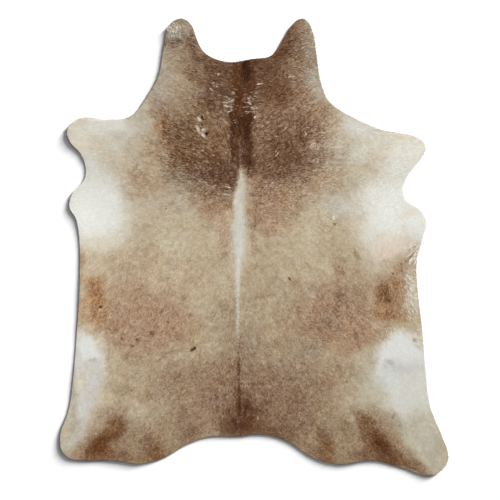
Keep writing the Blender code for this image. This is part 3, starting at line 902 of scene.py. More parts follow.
SMALL_MARKS = (
    # dark stripe along the crest of the neck
    ("dark", 0.016, 1.72, 0.048, 0.22, 0.8, 0.7),
    ("soot", 0.022, 1.87, 0.020, 0.07, 1.0),
    ("dark", 0.066, 1.86, 0.005, 0.10, 0.7, 1.2),
    ("rust", -0.018, 1.80, 0.018, 0.13, 0.9, 1.5),
    ("rust", 0.005, 1.69, 0.014, 0.06, 0.5, 1.3),
    ("dark", 0.004, 1.70, 0.020, 0.07, 0.5),
    ("soot", 0.006, 1.63, 0.020, 0.045, 0.4),
    ("umber", 0.072, 1.49, 0.012, 0.07, 0.5),
    ("soot", 0.036, 1.63, 0.026, 0.06, 0.6, 1.3),
    ("dark", -0.035, 1.62, 0.022, 0.07, 0.4),
    ("dark", -0.034, 1.54, 0.015, 0.11, 0.85, 1.0),
    ("soot", 0.042, 1.49, 0.020, 0.125, 0.8, 1.1),
    ("dark", 0.004, 1.51, 0.026, 0.10, 0.8, 0.8),
    ("lead", 0.006, 1.49, 0.012, 0.06, 0.35, 1.3),
    ("rose", 0.079, 1.84, 0.004, 0.07, 0.3, 1.0, -3),
    # white stripe down the back
    ("straw", 0.003, 1.17, 0.044, 0.145, 0.9, 0.9),
    ("bisque", 0.050, 1.26, 0.018, 0.10, 0.6, 1.4, -4),
    ("oat", -0.045, 1.10, 0.014, 0.06, 0.8, 1.3),
    ("straw", -0.004, 1.06, 0.040, 0.16, 0.7, 1.0),
    ("pale", -0.006, 1.16, 0.028, 0.15, 0.95, 0.9),
    ("straw", 0.012, 1.29, 0.034, 0.085, 0.7, 1.3, -3),
    ("pale", 0.001, 1.28, 0.023, 0.080, 0.9, 1.2, -3),
    ("pale", -0.009, 1.09, 0.026, 0.11, 0.8, 1.0),
    ("chalk", -0.007, 0.93, 0.011, 0.13, 0.9, 0.9),
    ("pale", -0.010, 0.76, 0.005, 0.15, 0.9, 1.0),
    ("umber", 0.058, 1.390, 0.022, 0.025, 0.8, 1.3),
    ("straw", 0.005, 1.375, 0.010, 0.05, 0.9, 1.0),
    ("rose", -0.080, 1.06, 0.026, 0.10, 0.6, 1.3),
    ("rose", 0.064, 1.08, 0.012, 0.08, 0.5),
    ("brown", 0.070, 1.155, 0.003, 0.04, 0.4, 1.2, -12),
    ("umber", -0.065, 1.368, 0.018, 0.014, 0.6, 1.4, 20),
    ("taupe", -0.022, 0.795, 0.006, 0.02, 0.7, 1.2),
    # dark line down the croup
    ("umber", -0.010, 0.38, 0.020, 0.05, 0.5, 1.3),
    ("brown", -0.005, 0.42, 0.006, 0.21, 0.9, 0.8),
    ("dark", -0.005, 0.48, 0.006, 0.04, 0.8, 1.2),
    ("dark", -0.005, 0.36, 0.007, 0.07, 0.8, 1.2),
    # streaks of the fan above the tail
    ("dark", -0.004, 0.33, 0.006, 0.07, 0.7, 1.0),
    ("dark", 0.022, 0.29, 0.006, 0.07, 0.6, 1.0, -14),
    ("rust", 0.050, 0.25, 0.007, 0.05, 0.6, 1.1, -32),
    ("rust", 0.075, 0.22, 0.006, 0.03, 0.6, 1.1, -45),
    ("dark", -0.030, 0.25, 0.006, 0.05, 0.5, 1.1, 24),
    ("rust", -0.058, 0.21, 0.006, 0.03, 0.5, 1.1, 40),
    ("taupe", 0.012, 0.28, 0.003, 0.04, 0.6, 1.0, -5),
    ("taupe", 0.040, 0.29, 0.003, 0.03, 0.6, 1.0, -24),
    ("taupe", -0.018, 0.27, 0.003, 0.04, 0.6, 1.0, 12),
    ("taupe", -0.043, 0.24, 0.003, 0.03, 0.6, 1.0, 32),
    # small spots of the body, and the pale hair of the whorl
    ("brown", -0.497, 0.597, 0.014, 0.008, 0.7, 1.3, 30),
    ("brown", -0.400, 0.655, 0.022, 0.009, 0.7, 1.3, 20),
    ("brown", -0.472, 0.622, 0.012, 0.010, 0.5, 1.3, 45),
    ("khaki", 0.515, 0.262, 0.012, 0.014, 0.7, 1.2),
    ("brown", 0.705, 0.270, 0.006, 0.014, 0.6, 1.2, -20),
    ("taupe", 0.080, 0.270, 0.010, 0.010, 0.4, 1.3),
    ("ash", 0.338, 1.520, 0.028, 0.022, 0.5),
    ("ash", 0.355, 1.450, 0.028, 0.014, 0.35),
    # painted shade of the shallow dimples and folds in the white patches
    ("lead", -0.680, 0.531, 0.018, 0.004, 0.40, 1.4, 8),
    ("lead", -0.693, 0.524, 0.004, 0.006, 0.30),
    ("frost", -0.652, 0.508, 0.014, 0.016, 0.8),
    ("silver", -0.69, 0.485, 0.030, 0.035, 0.7, 1.3),
    ("lead", 0.690, 0.522, 0.020, 0.010, 0.20, 1.6, -20),
    ("lead", 0.709, 0.496, 0.005, 0.014, 0.22, 1.6, 12),
    ("tan", 0.815, 0.592, 0.022, 0.005, 0.4, 1.4, -25),
    ("silver", 0.75, 0.49, 0.035, 0.02, 0.7, 1.3),
)
# The middles of the larger brown mottles on the flanks and the croup
MOTTLE_PLACES = (
    (-0.35, 0.76), (-0.30, 0.74), (-0.28, 0.63), (-0.35, 0.545), (-0.26, 0.815), (-0.42, 0.70),
    (-0.40, 0.655), (-0.545, 0.63), (-0.50, 0.76), (-0.46, 0.86), (-0.22, 0.70), (-0.52, 0.55),
    (-0.69, 0.775), (-0.665, 0.735), (-0.625, 0.735),
    (-0.30, 0.46), (-0.20, 0.42), (-0.13, 0.47), (-0.27, 0.36), (-0.25, 0.24), (-0.08, 0.56),
    (0.465, 0.84), (0.48, 0.80), (0.47, 0.935), (0.48, 0.99), (0.535, 1.01), (0.40, 0.70),
    (0.53, 0.66), (0.55, 0.635), (0.38, 0.63), (0.46, 0.73), (0.31, 0.765), (0.33, 0.845),
    (0.31, 0.575), (0.11, 0.47), (0.24, 0.50), (0.41, 0.45), (0.30, 0.36), (0.17, 0.62),
)
MOTTLE = {"tone": "taupe", "length": 0.018, "width": 0.010, "soft": 1.5, "strength": 0.55}
MOTTLE_TURN = 45
BASE_TONE = "fawn"
# The edges of the marks are ragged along the hair, and sway by three reaches, each over its own
# size and with its own seed. Marks smaller than the steady size do so less.
RAGGED_REACH = 0.012
RAGGED_NOISE = (0.006, 0.018, 5)
SWAYS = (
    (0.022, 0.09, 11),
    (0.010, 0.035, 13),
    (0.005, 0.014, 15),
)
STEADY_SIZE = 0.06
# How light a tone counts as white hair, and how much darker brown hair is
LIGHT_TONE = 228
DARK_RANGE = 120
# How strongly light and dark hair are mixed by distance ahead of the rear edge: least over the
# rump, most on the withers
CONTRAST_PLACES = (0.10, 0.40, 0.62, 0.75, 1.20, 1.40, 1.62, 1.75)
CONTRASTS = (0.62, 0.88, 1.00, 1.10, 1.00, 1.15, 1.12, 0.85)
# How far the darker blots are drawn out along the hair, most on the flanks
BLOT_PLACES = (0.40, 0.55, 0.90, 1.15)
BLOT_LENGTHS = (0.008, 0.022, 0.022, 0.010)
# How much blots, patches, mottles, streaks along the hair and a reddish blush change a tone
BLOT_CHANGE = 0.06
BLOT_SIZE = 0.012
BLOT_SEED = 22
PATCH_CHANGE = 0.050
PATCH_NOISE = (0.075, 20)
MOTTLE_CHANGE = 0.042
MOTTLE_NOISE = (0.026, 0.02, 21)
STREAK_LIGHT = 0.016
STREAK_DARK = 0.20
STREAK_SIZE = 0.0036
STREAK_LENGTH = 0.6
STREAK_SEED = 6
BLUSH_CHANGE = 0.018
BLUSH_NOISE = (0.05, 23)
# How much of such a change goes to red, green and blue
PATCH_WARMTH = np.array((0.75, 1.13, 1.42))
HAIR_WARMTH = np.array((0.84, 1.08, 1.36))
BLUSH_WARMTH = np.array((0.9, 0.2, -1.1))
DARKEST_TONE = 8
LIGHTEST_TONE = 252
GAMMA = 2.2
EXPOSURE = 1.05
BRIGHTEST = 0.97


def marks_in_order():
    """Every mark in the order in which they are laid: broad ones, mottles, then small ones."""
    mottles = [
        Mark(out=out, ahead=ahead, turn=MOTTLE_TURN if out < 0 else -MOTTLE_TURN, **MOTTLE)
        for out, ahead in MOTTLE_PLACES
    ]
    return [Mark(*row) for row in BROAD_MARKS] + mottles + [Mark(*row) for row in SMALL_MARKS]


def mark_share(mark, out, ahead):
    """How strongly a mark covers each place."""
    turn = np.radians(mark.turn)
    along = (out - mark.out) * np.cos(turn) + (ahead - mark.ahead) * np.sin(turn)
    across = (ahead - mark.ahead) * np.cos(turn) - (out - mark.out) * np.sin(turn)
    reach = np.hypot(along / mark.length, across / mark.width)
    return mark.strength * eased(np.clip((1 + mark.soft / 2 - reach) / mark.soft, 0, 1))


def ragged_shift(out, ahead):
    """How far off the marks are read at each place, which makes their edges ragged."""
    along_out, along_ahead = lay_direction(out, ahead)
    ragged = RAGGED_REACH * combed_noise(out, ahead, *RAGGED_NOISE)
    shift_out = along_out * ragged
    shift_ahead = along_ahead * ragged
    for reach, size, seed in SWAYS:
        shift_out += reach * hide_noise(out, ahead, size, seed)
        shift_ahead += reach * hide_noise(out, ahead, size, seed + 1)
    return shift_out, shift_ahead


def marked_tones(out, ahead):
    """The coat's plain tone with all marks laid over it."""
    shift_out, shift_ahead = ragged_shift(out, ahead)
    tones = np.tile(np.array(TONES[BASE_TONE], float), (len(out), 1))
    for mark in marks_in_order():
        sway = min(1.0, min(mark.length, mark.width) / STEADY_SIZE)
        share = mark_share(mark, out + shift_out * sway, ahead + shift_ahead * sway)[:, None]
        tones += share * (np.array(TONES[mark.tone]) - tones)
    return tones


def darkness(tones):
    """How dark each tone is, from 0 for white hair to 1 for brown."""
    return np.clip((LIGHT_TONE - tones.mean(axis=1)) / DARK_RANGE, 0, 1)


def coat_contrast(ahead):
    """How strongly light and dark hair are mixed."""
    return np.interp(ahead, CONTRAST_PLACES, CONTRASTS)


def coat_tones(places, wander=0.0):
    """The coat's tone at each place; the markings may be read a little way off it."""
    tones = marked_tones(*hide_places(places + wander))
    out, ahead = hide_places(places)
    dark = darkness(tones)
    contrast = coat_contrast(ahead)
    blot_length = np.interp(ahead, BLOT_PLACES, BLOT_LENGTHS)
    change = PATCH_CHANGE * hide_noise(out, ahead, *PATCH_NOISE)
    change += MOTTLE_CHANGE * combed_noise(out, ahead, *MOTTLE_NOISE)
    change += BLOT_CHANGE * combed_noise(out, ahead, BLOT_SIZE, blot_length, BLOT_SEED)
    change *= dark * contrast
    tones *= 1 + change[:, None] * PATCH_WARMTH
    streak = STREAK_LIGHT + STREAK_DARK * contrast * dark ** 2
    streak *= combed_noise(out, ahead, STREAK_SIZE, STREAK_LENGTH * hair_length(ahead), STREAK_SEED)
    tones *= 1 + streak[:, None] * HAIR_WARMTH
    blush = BLUSH_CHANGE * hide_noise(out, ahead, *BLUSH_NOISE) * dark
    return tones * (1 + blush[:, None] * BLUSH_WARMTH)


def linear(tones):
    """Tones as the shader takes them."""
    return EXPOSURE * (np.clip(tones, DARKEST_TONE, LIGHTEST_TONE) / 255) ** GAMMA


def store_colours(mesh, colours):
    """Keeps one colour for each point of a mesh, for its material to read."""
    layer = mesh.attributes.new("coat colour", "FLOAT_COLOR", "POINT")
    filled = np.ones((len(mesh.vertices), 4))
    filled[:, :3] = colours
    layer.data.foreach_set("color", filled.ravel())


def store_lay(mesh, lay, lengths, evenness):
    """Keeps how the hair lies, its length and its evenness at each point, for a tree to read."""
    mesh.attributes.new("lay", "FLOAT_VECTOR", "POINT").data.foreach_set("vector", lay.ravel())
    for name, values in (("hair length", lengths), ("evenness", evenness)):
        mesh.attributes.new(name, "FLOAT", "POINT").data.foreach_set("value", values)


def hair_at_edge(places, outline):
    """How long the locks are, cut short where they would pass the edge, how near it they are,
    and how near those are that point out over it."""
    out, ahead = hide_places(places)
    along_x, along_y = lay_direction(out, ahead)
    distance, nearest = nearest_on_outline(places, outline)
    following = np.roll(outline, -1, axis=0) - np.roll(outline, 1, axis=0)
    edge_x, edge_y = following[nearest, 0], following[nearest, 1]
    size = np.hypot(edge_x, edge_y)
    towards_edge = np.abs(along_x * edge_y - along_y * edge_x) / size
    outward = outline[nearest, :2] - places[:, :2]
    leaving = (outward[:, 0] * along_x + outward[:, 1] * along_y) > -EDGE_SLACK
    room = distance / np.maximum(towards_edge, SMALLEST_SLANT) + EDGE_OVERHANG
    longest = hair_length(ahead)
    room = np.where(leaving, room, longest)
    near = np.clip(1 - distance / EDGE_REACH, 0, 1)
    return np.clip(room, SHORTEST_HAIR, longest), near, near * leaving


def piece_of_hair_side(hair_side, outline, first, last):
    """The skin's hair side between two shares of its triangles, counted from head to tail."""
    flat, heights, faces = hair_side
    faces = np.array(faces)
    order = np.argsort(-flat[faces].mean(axis=1)[:, 1])
    chosen = faces[order[int(first * len(faces)):int(last * len(faces))]]
    kept, renumbered = np.unique(chosen, return_inverse=True)
    places = np.column_stack([flat[kept], heights[kept]])
    mesh = bpy.data.meshes.new("hair side")
    mesh.from_pydata(places.tolist(), [], renumbered.reshape(-1, 3).tolist())
    along_x, along_y = lay_direction(*hide_places(places))
    lengths, near, leaving = hair_at_edge(places, outline)
    store_lay(mesh, np.column_stack([along_x, along_y, -EDGE_DROOP * leaving]), lengths, 1 - near)
    return mesh


def lock_shape():
    """One lock: rising from its root to its two shoulders, then lying down to its tip."""
    points = [(1.0, 0, 1.0), (0, 0, 0), (LOCK_RISE, -1, LOCK_SHOULDER), (LOCK_RISE, 1, LOCK_SHOULDER)]
    mesh = bpy.data.meshes.new("lock")
    mesh.from_pydata(points, [], [(0, 2, 3), (0, 1, 2), (0, 3, 1), (1, 3, 2)], shade_flat=False)
    return bpy.data.objects.new("lock", mesh)


def in_use(sockets, name):
    """The socket of that name that is in use."""
    return next(s for s in sockets if s.enabled and s.name == name)


class Tree:
    """A geometry tree being built: adds nodes, and links or sets their inputs."""

    def __init__(self, name, sizes):
        self.group = bpy.data.node_groups.new(name, "GeometryNodeTree")
        face = self.group.interface
        face.new_socket("Skin", in_out="INPUT", socket_type="NodeSocketGeometry")
        for size in sizes:
            face.new_socket(size, in_out="INPUT", socket_type="NodeSocketFloat")
        face.new_socket("Seed", in_out="INPUT", socket_type="NodeSocketInt")
        face.new_socket("Material", in_out="INPUT", socket_type="NodeSocketMaterial")
        face.new_socket("Lock", in_out="INPUT", socket_type="NodeSocketObject")
        face.new_socket("Locks", in_out="OUTPUT", socket_type="NodeSocketGeometry")
        self.given = self.group.nodes.new("NodeGroupInput").outputs

    def add(self, kind, inputs=(), **settings):
        """Adds a node, with its settings first and then its inputs by name."""
        node = self.group.nodes.new(kind)
        for name, value in settings.items():
            setattr(node, name, value)
        for name, value in dict(inputs).items():
            self.put(in_use(node.inputs, name), value)
        return node

    def put(self, socket, value):
        """Links an output to a socket, or sets it."""
        if isinstance(value, bpy.types.NodeSocket):
            self.group.links.new(value, socket)
        else:
            socket.default_value = value

    def attribute(self, name, kind):
        """What the skin says under that name."""
        node = self.add("GeometryNodeInputNamedAttribute", {"Name": name}, data_type=kind)
        return in_use(node.outputs, "Attribute")

    def number(self, operation, first, second):
        """One step of arithmetic."""
        node = self.add("ShaderNodeMath", operation=operation)
        self.put(node.inputs[0], first)
        self.put(node.inputs[1], second)
        return node.outputs[0]

    def vector(self, operation, first, second=(0, 0, 0), scale=None):
        """One step of arithmetic on directions."""
        node = self.add("ShaderNodeVectorMath", operation=operation)
        self.put(node.inputs[0], first)
        if scale is None:
            self.put(node.inputs[1], second)
        else:
            self.put(in_use(node.inputs, "Scale"), scale)
        return node.outputs[0]

    def random(self, low, high, seed, kind="FLOAT"):
        """A random value for each lock."""
        limits = {"Min": low, "Max": high, "Seed": seed}
        return in_use(self.add("FunctionNodeRandomValue", limits, data_type=kind).outputs, "Value")

    def random_turn(self, reach, seed):
        """A random direction for each lock, up to that reach either way."""
        back = tuple(-distance for distance in reach)
        return self.random(back, reach, seed, "FLOAT_VECTOR")

    def varied(self, size, shares):
        """A size that differs from lock to lock."""
        return self.number("MULTIPLY", size, self.random(*shares))


def spread_evenly(tree):
    """Evenly spread places on the hair side, and which way is up at each."""
    given = tree.given
    area = tree.number("MULTIPLY", given["Spacing"], given["Spacing"])
    places = tree.add(
        "GeometryNodeDistributePointsOnFaces",
        {
            "Mesh": given["Skin"],
            "Distance Min": given["Spacing"],
            "Density Max": tree.number("DIVIDE", PLACES_TRIED, area),
            "Seed": given["Seed"],
        },
        distribute_method="POISSON",
    )
    return places.outputs["Points"], places.outputs["Normal"]


def lock_turn(tree, up):
    """The turn that lays a lock down along the hair, its broad side upwards."""
    given = tree.given
    stray = tree.vector("SCALE", tree.random_turn(*STRAY_REACH), scale=given["Stray"])
    along = tree.vector("ADD", tree.attribute("lay", "FLOAT_VECTOR"), stray)
    along = tree.vector("ADD", along, tree.vector("SCALE", up, scale=given["Lift"]))
    pointed = tree.add("FunctionNodeAlignRotationToVector", {"Vector": along}, axis="Z")
    roll = tree.vector("SCALE", tree.random_turn(*ROLL_REACH), scale=given["Roll"])
    laid = tree.add(
        "FunctionNodeAlignRotationToVector",
        {"Rotation": pointed.outputs[0], "Vector": tree.vector("ADD", up, roll)},
        axis="X",
        pivot_axis="Z",
    )
    return laid.outputs[0]


def lock_size(tree):
    """How deep, wide and long a lock is."""
    sizes = {
        "X": tree.varied(tree.given["Lock Depth"], DEPTH_SHARES),
        "Y": tree.varied(tree.given["Lock Width"], WIDTH_SHARES),
        "Z": tree.varied(tree.attribute("hair length", "FLOAT"), LENGTH_SHARES),
    }
    return tree.add("ShaderNodeCombineXYZ", sizes).outputs[0]


def soft_facing(tree):
    """Which way a lock is shaded to face: between its own way and straight up."""
    softness = tree.number("MULTIPLY", tree.given["Softness"], tree.attribute("evenness", "FLOAT"))
    own = tree.add("GeometryNodeInputNormal").outputs["Normal"]
    own = tree.vector("SCALE", own, scale=tree.number("SUBTRACT", 1.0, softness))
    upward = tree.add("ShaderNodeCombineXYZ", {"Z": softness})
    return tree.vector("NORMALIZE", tree.vector("ADD", own, upward.outputs[0]))


def lock_tree(name, sizes, spread):
    """Lays one flattened, pointed lock of hair along the lay at each place."""
    tree = Tree(name, sizes)
    places, up = spread(tree)
    lock = tree.add("GeometryNodeObjectInfo", {"Object": tree.given["Lock"]})
    locks = tree.add(
        "GeometryNodeInstanceOnPoints",
        {
            "Points": places,
            "Instance": lock.outputs["Geometry"],
            "Rotation": lock_turn(tree, up),
            "Scale": lock_size(tree),
        },
    )
    rooted = tree.add(
        "GeometryNodeStoreNamedAttribute",
        {
            "Geometry": locks.outputs[0],
            "Name": "root",
            "Value": tree.add("GeometryNodeInputPosition").outputs[0],
        },
        data_type="FLOAT_VECTOR",
        domain="INSTANCE",
    )
    real = tree.add("GeometryNodeRealizeInstances", {"Geometry": rooted.outputs[0]})
    soft = tree.add(
        "GeometryNodeSetMeshNormal",
        {"Mesh": real.outputs[0], "Custom Normal": soft_facing(tree)},
        mode="FREE",
        domain="POINT",
    )
    finished = tree.add(
        "GeometryNodeSetMaterial", {"Geometry": soft.outputs[0], "Material": tree.given["Material"]}
    )
    tree.group.links.new(finished.outputs[0], tree.group.nodes.new("NodeGroupOutput").inputs[0])
    return tree.group


def grown(name, mesh, group, values):
    """The real mesh that a tree makes from one, as an object."""
    base = add_object("base of " + name, mesh)
    modifier = base.modifiers.new("locks", "NODES")
    modifier.node_group = group
    for socket in group.interface.items_tree:
        if socket.in_out == "INPUT" and socket.name in values:
            modifier[socket.identifier] = values[socket.name]
    ready = base.evaluated_get(bpy.context.evaluated_depsgraph_get())
    made = bpy.data.meshes.new_from_object(ready)
    made.name = name
    base.modifiers.remove(modifier)
    bpy.data.objects.remove(base)
    bpy.data.meshes.remove(mesh)
    return add_object(name, made)


def hair_material():
    """Soft, slightly glossy hair in the coat's own colours, with a fine grain of single hairs."""
    material = new_material("cow hair", HAIR_LOOK)
    tree = material.node_tree
    shader = principled(material)
    colour = tree.nodes.new("ShaderNodeAttribute")
    colour.attribute_name = "coat colour"
    hairs = noise_on_object(tree, HAIR_GRAIN)
    tinted = tree.nodes.new("ShaderNodeVectorMath")
    tinted.operation = "SCALE"
    tree.links.new(colour.outputs["Color"], tinted.inputs[0])
    tint = ranged(tree, hairs, *HAIR_GRAIN_TINT, *HAIR_GRAIN_RANGE)
    tree.links.new(tint, tinted.inputs["Scale"])
    tree.links.new(tinted.outputs["Vector"], shader.inputs["Base Color"])
    tree.links.new(ranged(tree, hairs, *HAIR_GLOSS), shader.inputs["Roughness"])
    return material


def kept_off_floor(mesh):
    """Bends up the locks at the edge whose ends would pass through the floor."""
    places = mesh_points(mesh)
    places[:, 2] = np.maximum(places[:, 2], LOWEST_HAIR)
    mesh.vertices.foreach_set("co", places.ravel())


def read_attribute(mesh, name, field, width):
    """What each point of a mesh has under that name, one row each."""
    values = np.empty(len(mesh.vertices) * width)
    mesh.attributes[name].data.foreach_get(field, values)
    return values.reshape(-1, width)


def drop_growing_attributes(mesh):
    """Removes what only the growing and colouring of the locks needed."""
    for name in ("root", "evenness"):
        mesh.attributes.remove(mesh.attributes[name])


def coloured_locks(mesh, seed):
    """Gives every lock the colour of the place where it grows, with painted light making it paler
    towards its tip, painted shade darkening it at its root, and painted shade on dark locks at the cut
    edge.
    """
    tips = mesh_points(mesh)[::LOCK_CORNERS]
    roots = read_attribute(mesh, "root", "vector", 3)[::LOCK_CORNERS]
    rim = (1 - read_attribute(mesh, "evenness", "value", 1)[::LOCK_CORNERS, 0]) ** 2
    chance = np.random.default_rng(seed)
    wander = chance.normal(0, LOCK_WANDER, roots.shape)
    tones = coat_tones((roots + tips) / 2, wander)
    contrast = coat_contrast(hide_places(roots)[1])
    spread = LOCK_TINT_LIGHT + LOCK_TINT_DARK * contrast * darkness(tones) ** 3
    # Painted shade along the cut edge: dark locks there are painted darker still
    tones *= (1 - RIM_PAINTED_SHADE * rim * np.minimum(RIM_PAINTED_SHADE_GAIN * darkness(tones), 1))[:, None]
    tint = chance.normal(0, 1, len(roots)) * spread
    tones *= 1 + np.clip(tint, -LOCK_TINT_MOST, LOCK_TINT_MOST)[:, None] * HAIR_WARMTH
    # Painted light on the tip and painted shade on the three root corners of each lock
    painted_tip_light_and_root_shade = np.array([TIP_PAINTED_LIGHT, ROOT_PAINTED_SHADE, ROOT_PAINTED_SHADE, ROOT_PAINTED_SHADE])
    colours = linear(tones)[:, None, :] * painted_tip_light_and_root_shade[None, :, None]
    store_colours(mesh, np.minimum(colours.reshape(-1, 3), BRIGHTEST))


hair = hair_material()
one_lock = lock_shape()
lock_parts = {"Material": hair, "Lock": one_lock}
locks = lock_tree("coat locks", COAT_LOCKS, spread_evenly)
skin.data.materials.append(hair)
# The skin between the locks carries the coat's tones, darkened by the painted shade of the roots
store_colours(skin.data, linear(coat_tones(mesh_points(skin.data))) * ROOT_PAINTED_SHADE)
share = 1 / len(COAT_PIECES)
for number, name in enumerate(COAT_PIECES):
    ground = piece_of_hair_side(hair_side, outline, number * share, (number + 1) * share)
    coat = grown(name, ground, locks, {**COAT_LOCKS, **lock_parts, "Seed": LOCK_SEED + number})
    kept_off_floor(coat.data)
    coloured_locks(coat.data, COLOUR_SEED + number)
    drop_growing_attributes(coat.data)
    planar_uv(coat.data, outline)
    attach(coat, "root")

# Flecks
# Single tufts of white, pale and black hair that stand out of the coat: beside the crest, at old
# scars and scratches, and along the edges of the white patches. They grow among the locks.
FLECK_LOCKS = {
    "Lock Width": 0.0008,
    "Lock Depth": 0.0018,
    "Lift": 0.04,
    "Roll": 0.10,
    "Stray": 0.10,
    "Softness": 0.90,
}
FLECK_HAIR = 0.011
FLECK_HEIGHT = 0.0018
FLECK_SEARCH_HEIGHT = 0.010
FLECK_TURN = 9.0
FLECK_SHOW = (0.50, 1.0)
FEWEST_HAIRS = 2
HAIR_COVER = 0.0000085
FLECK_HAIR_SEED = 91
WHORL_SEED = 92
FLECK_TONES = {
    "snow": (232, 226, 215),
    "pearl": (196, 182, 164),
    "buff": (170, 146, 120),
    "bark": (104, 72, 50),
    "coal": (46, 32, 22),
}
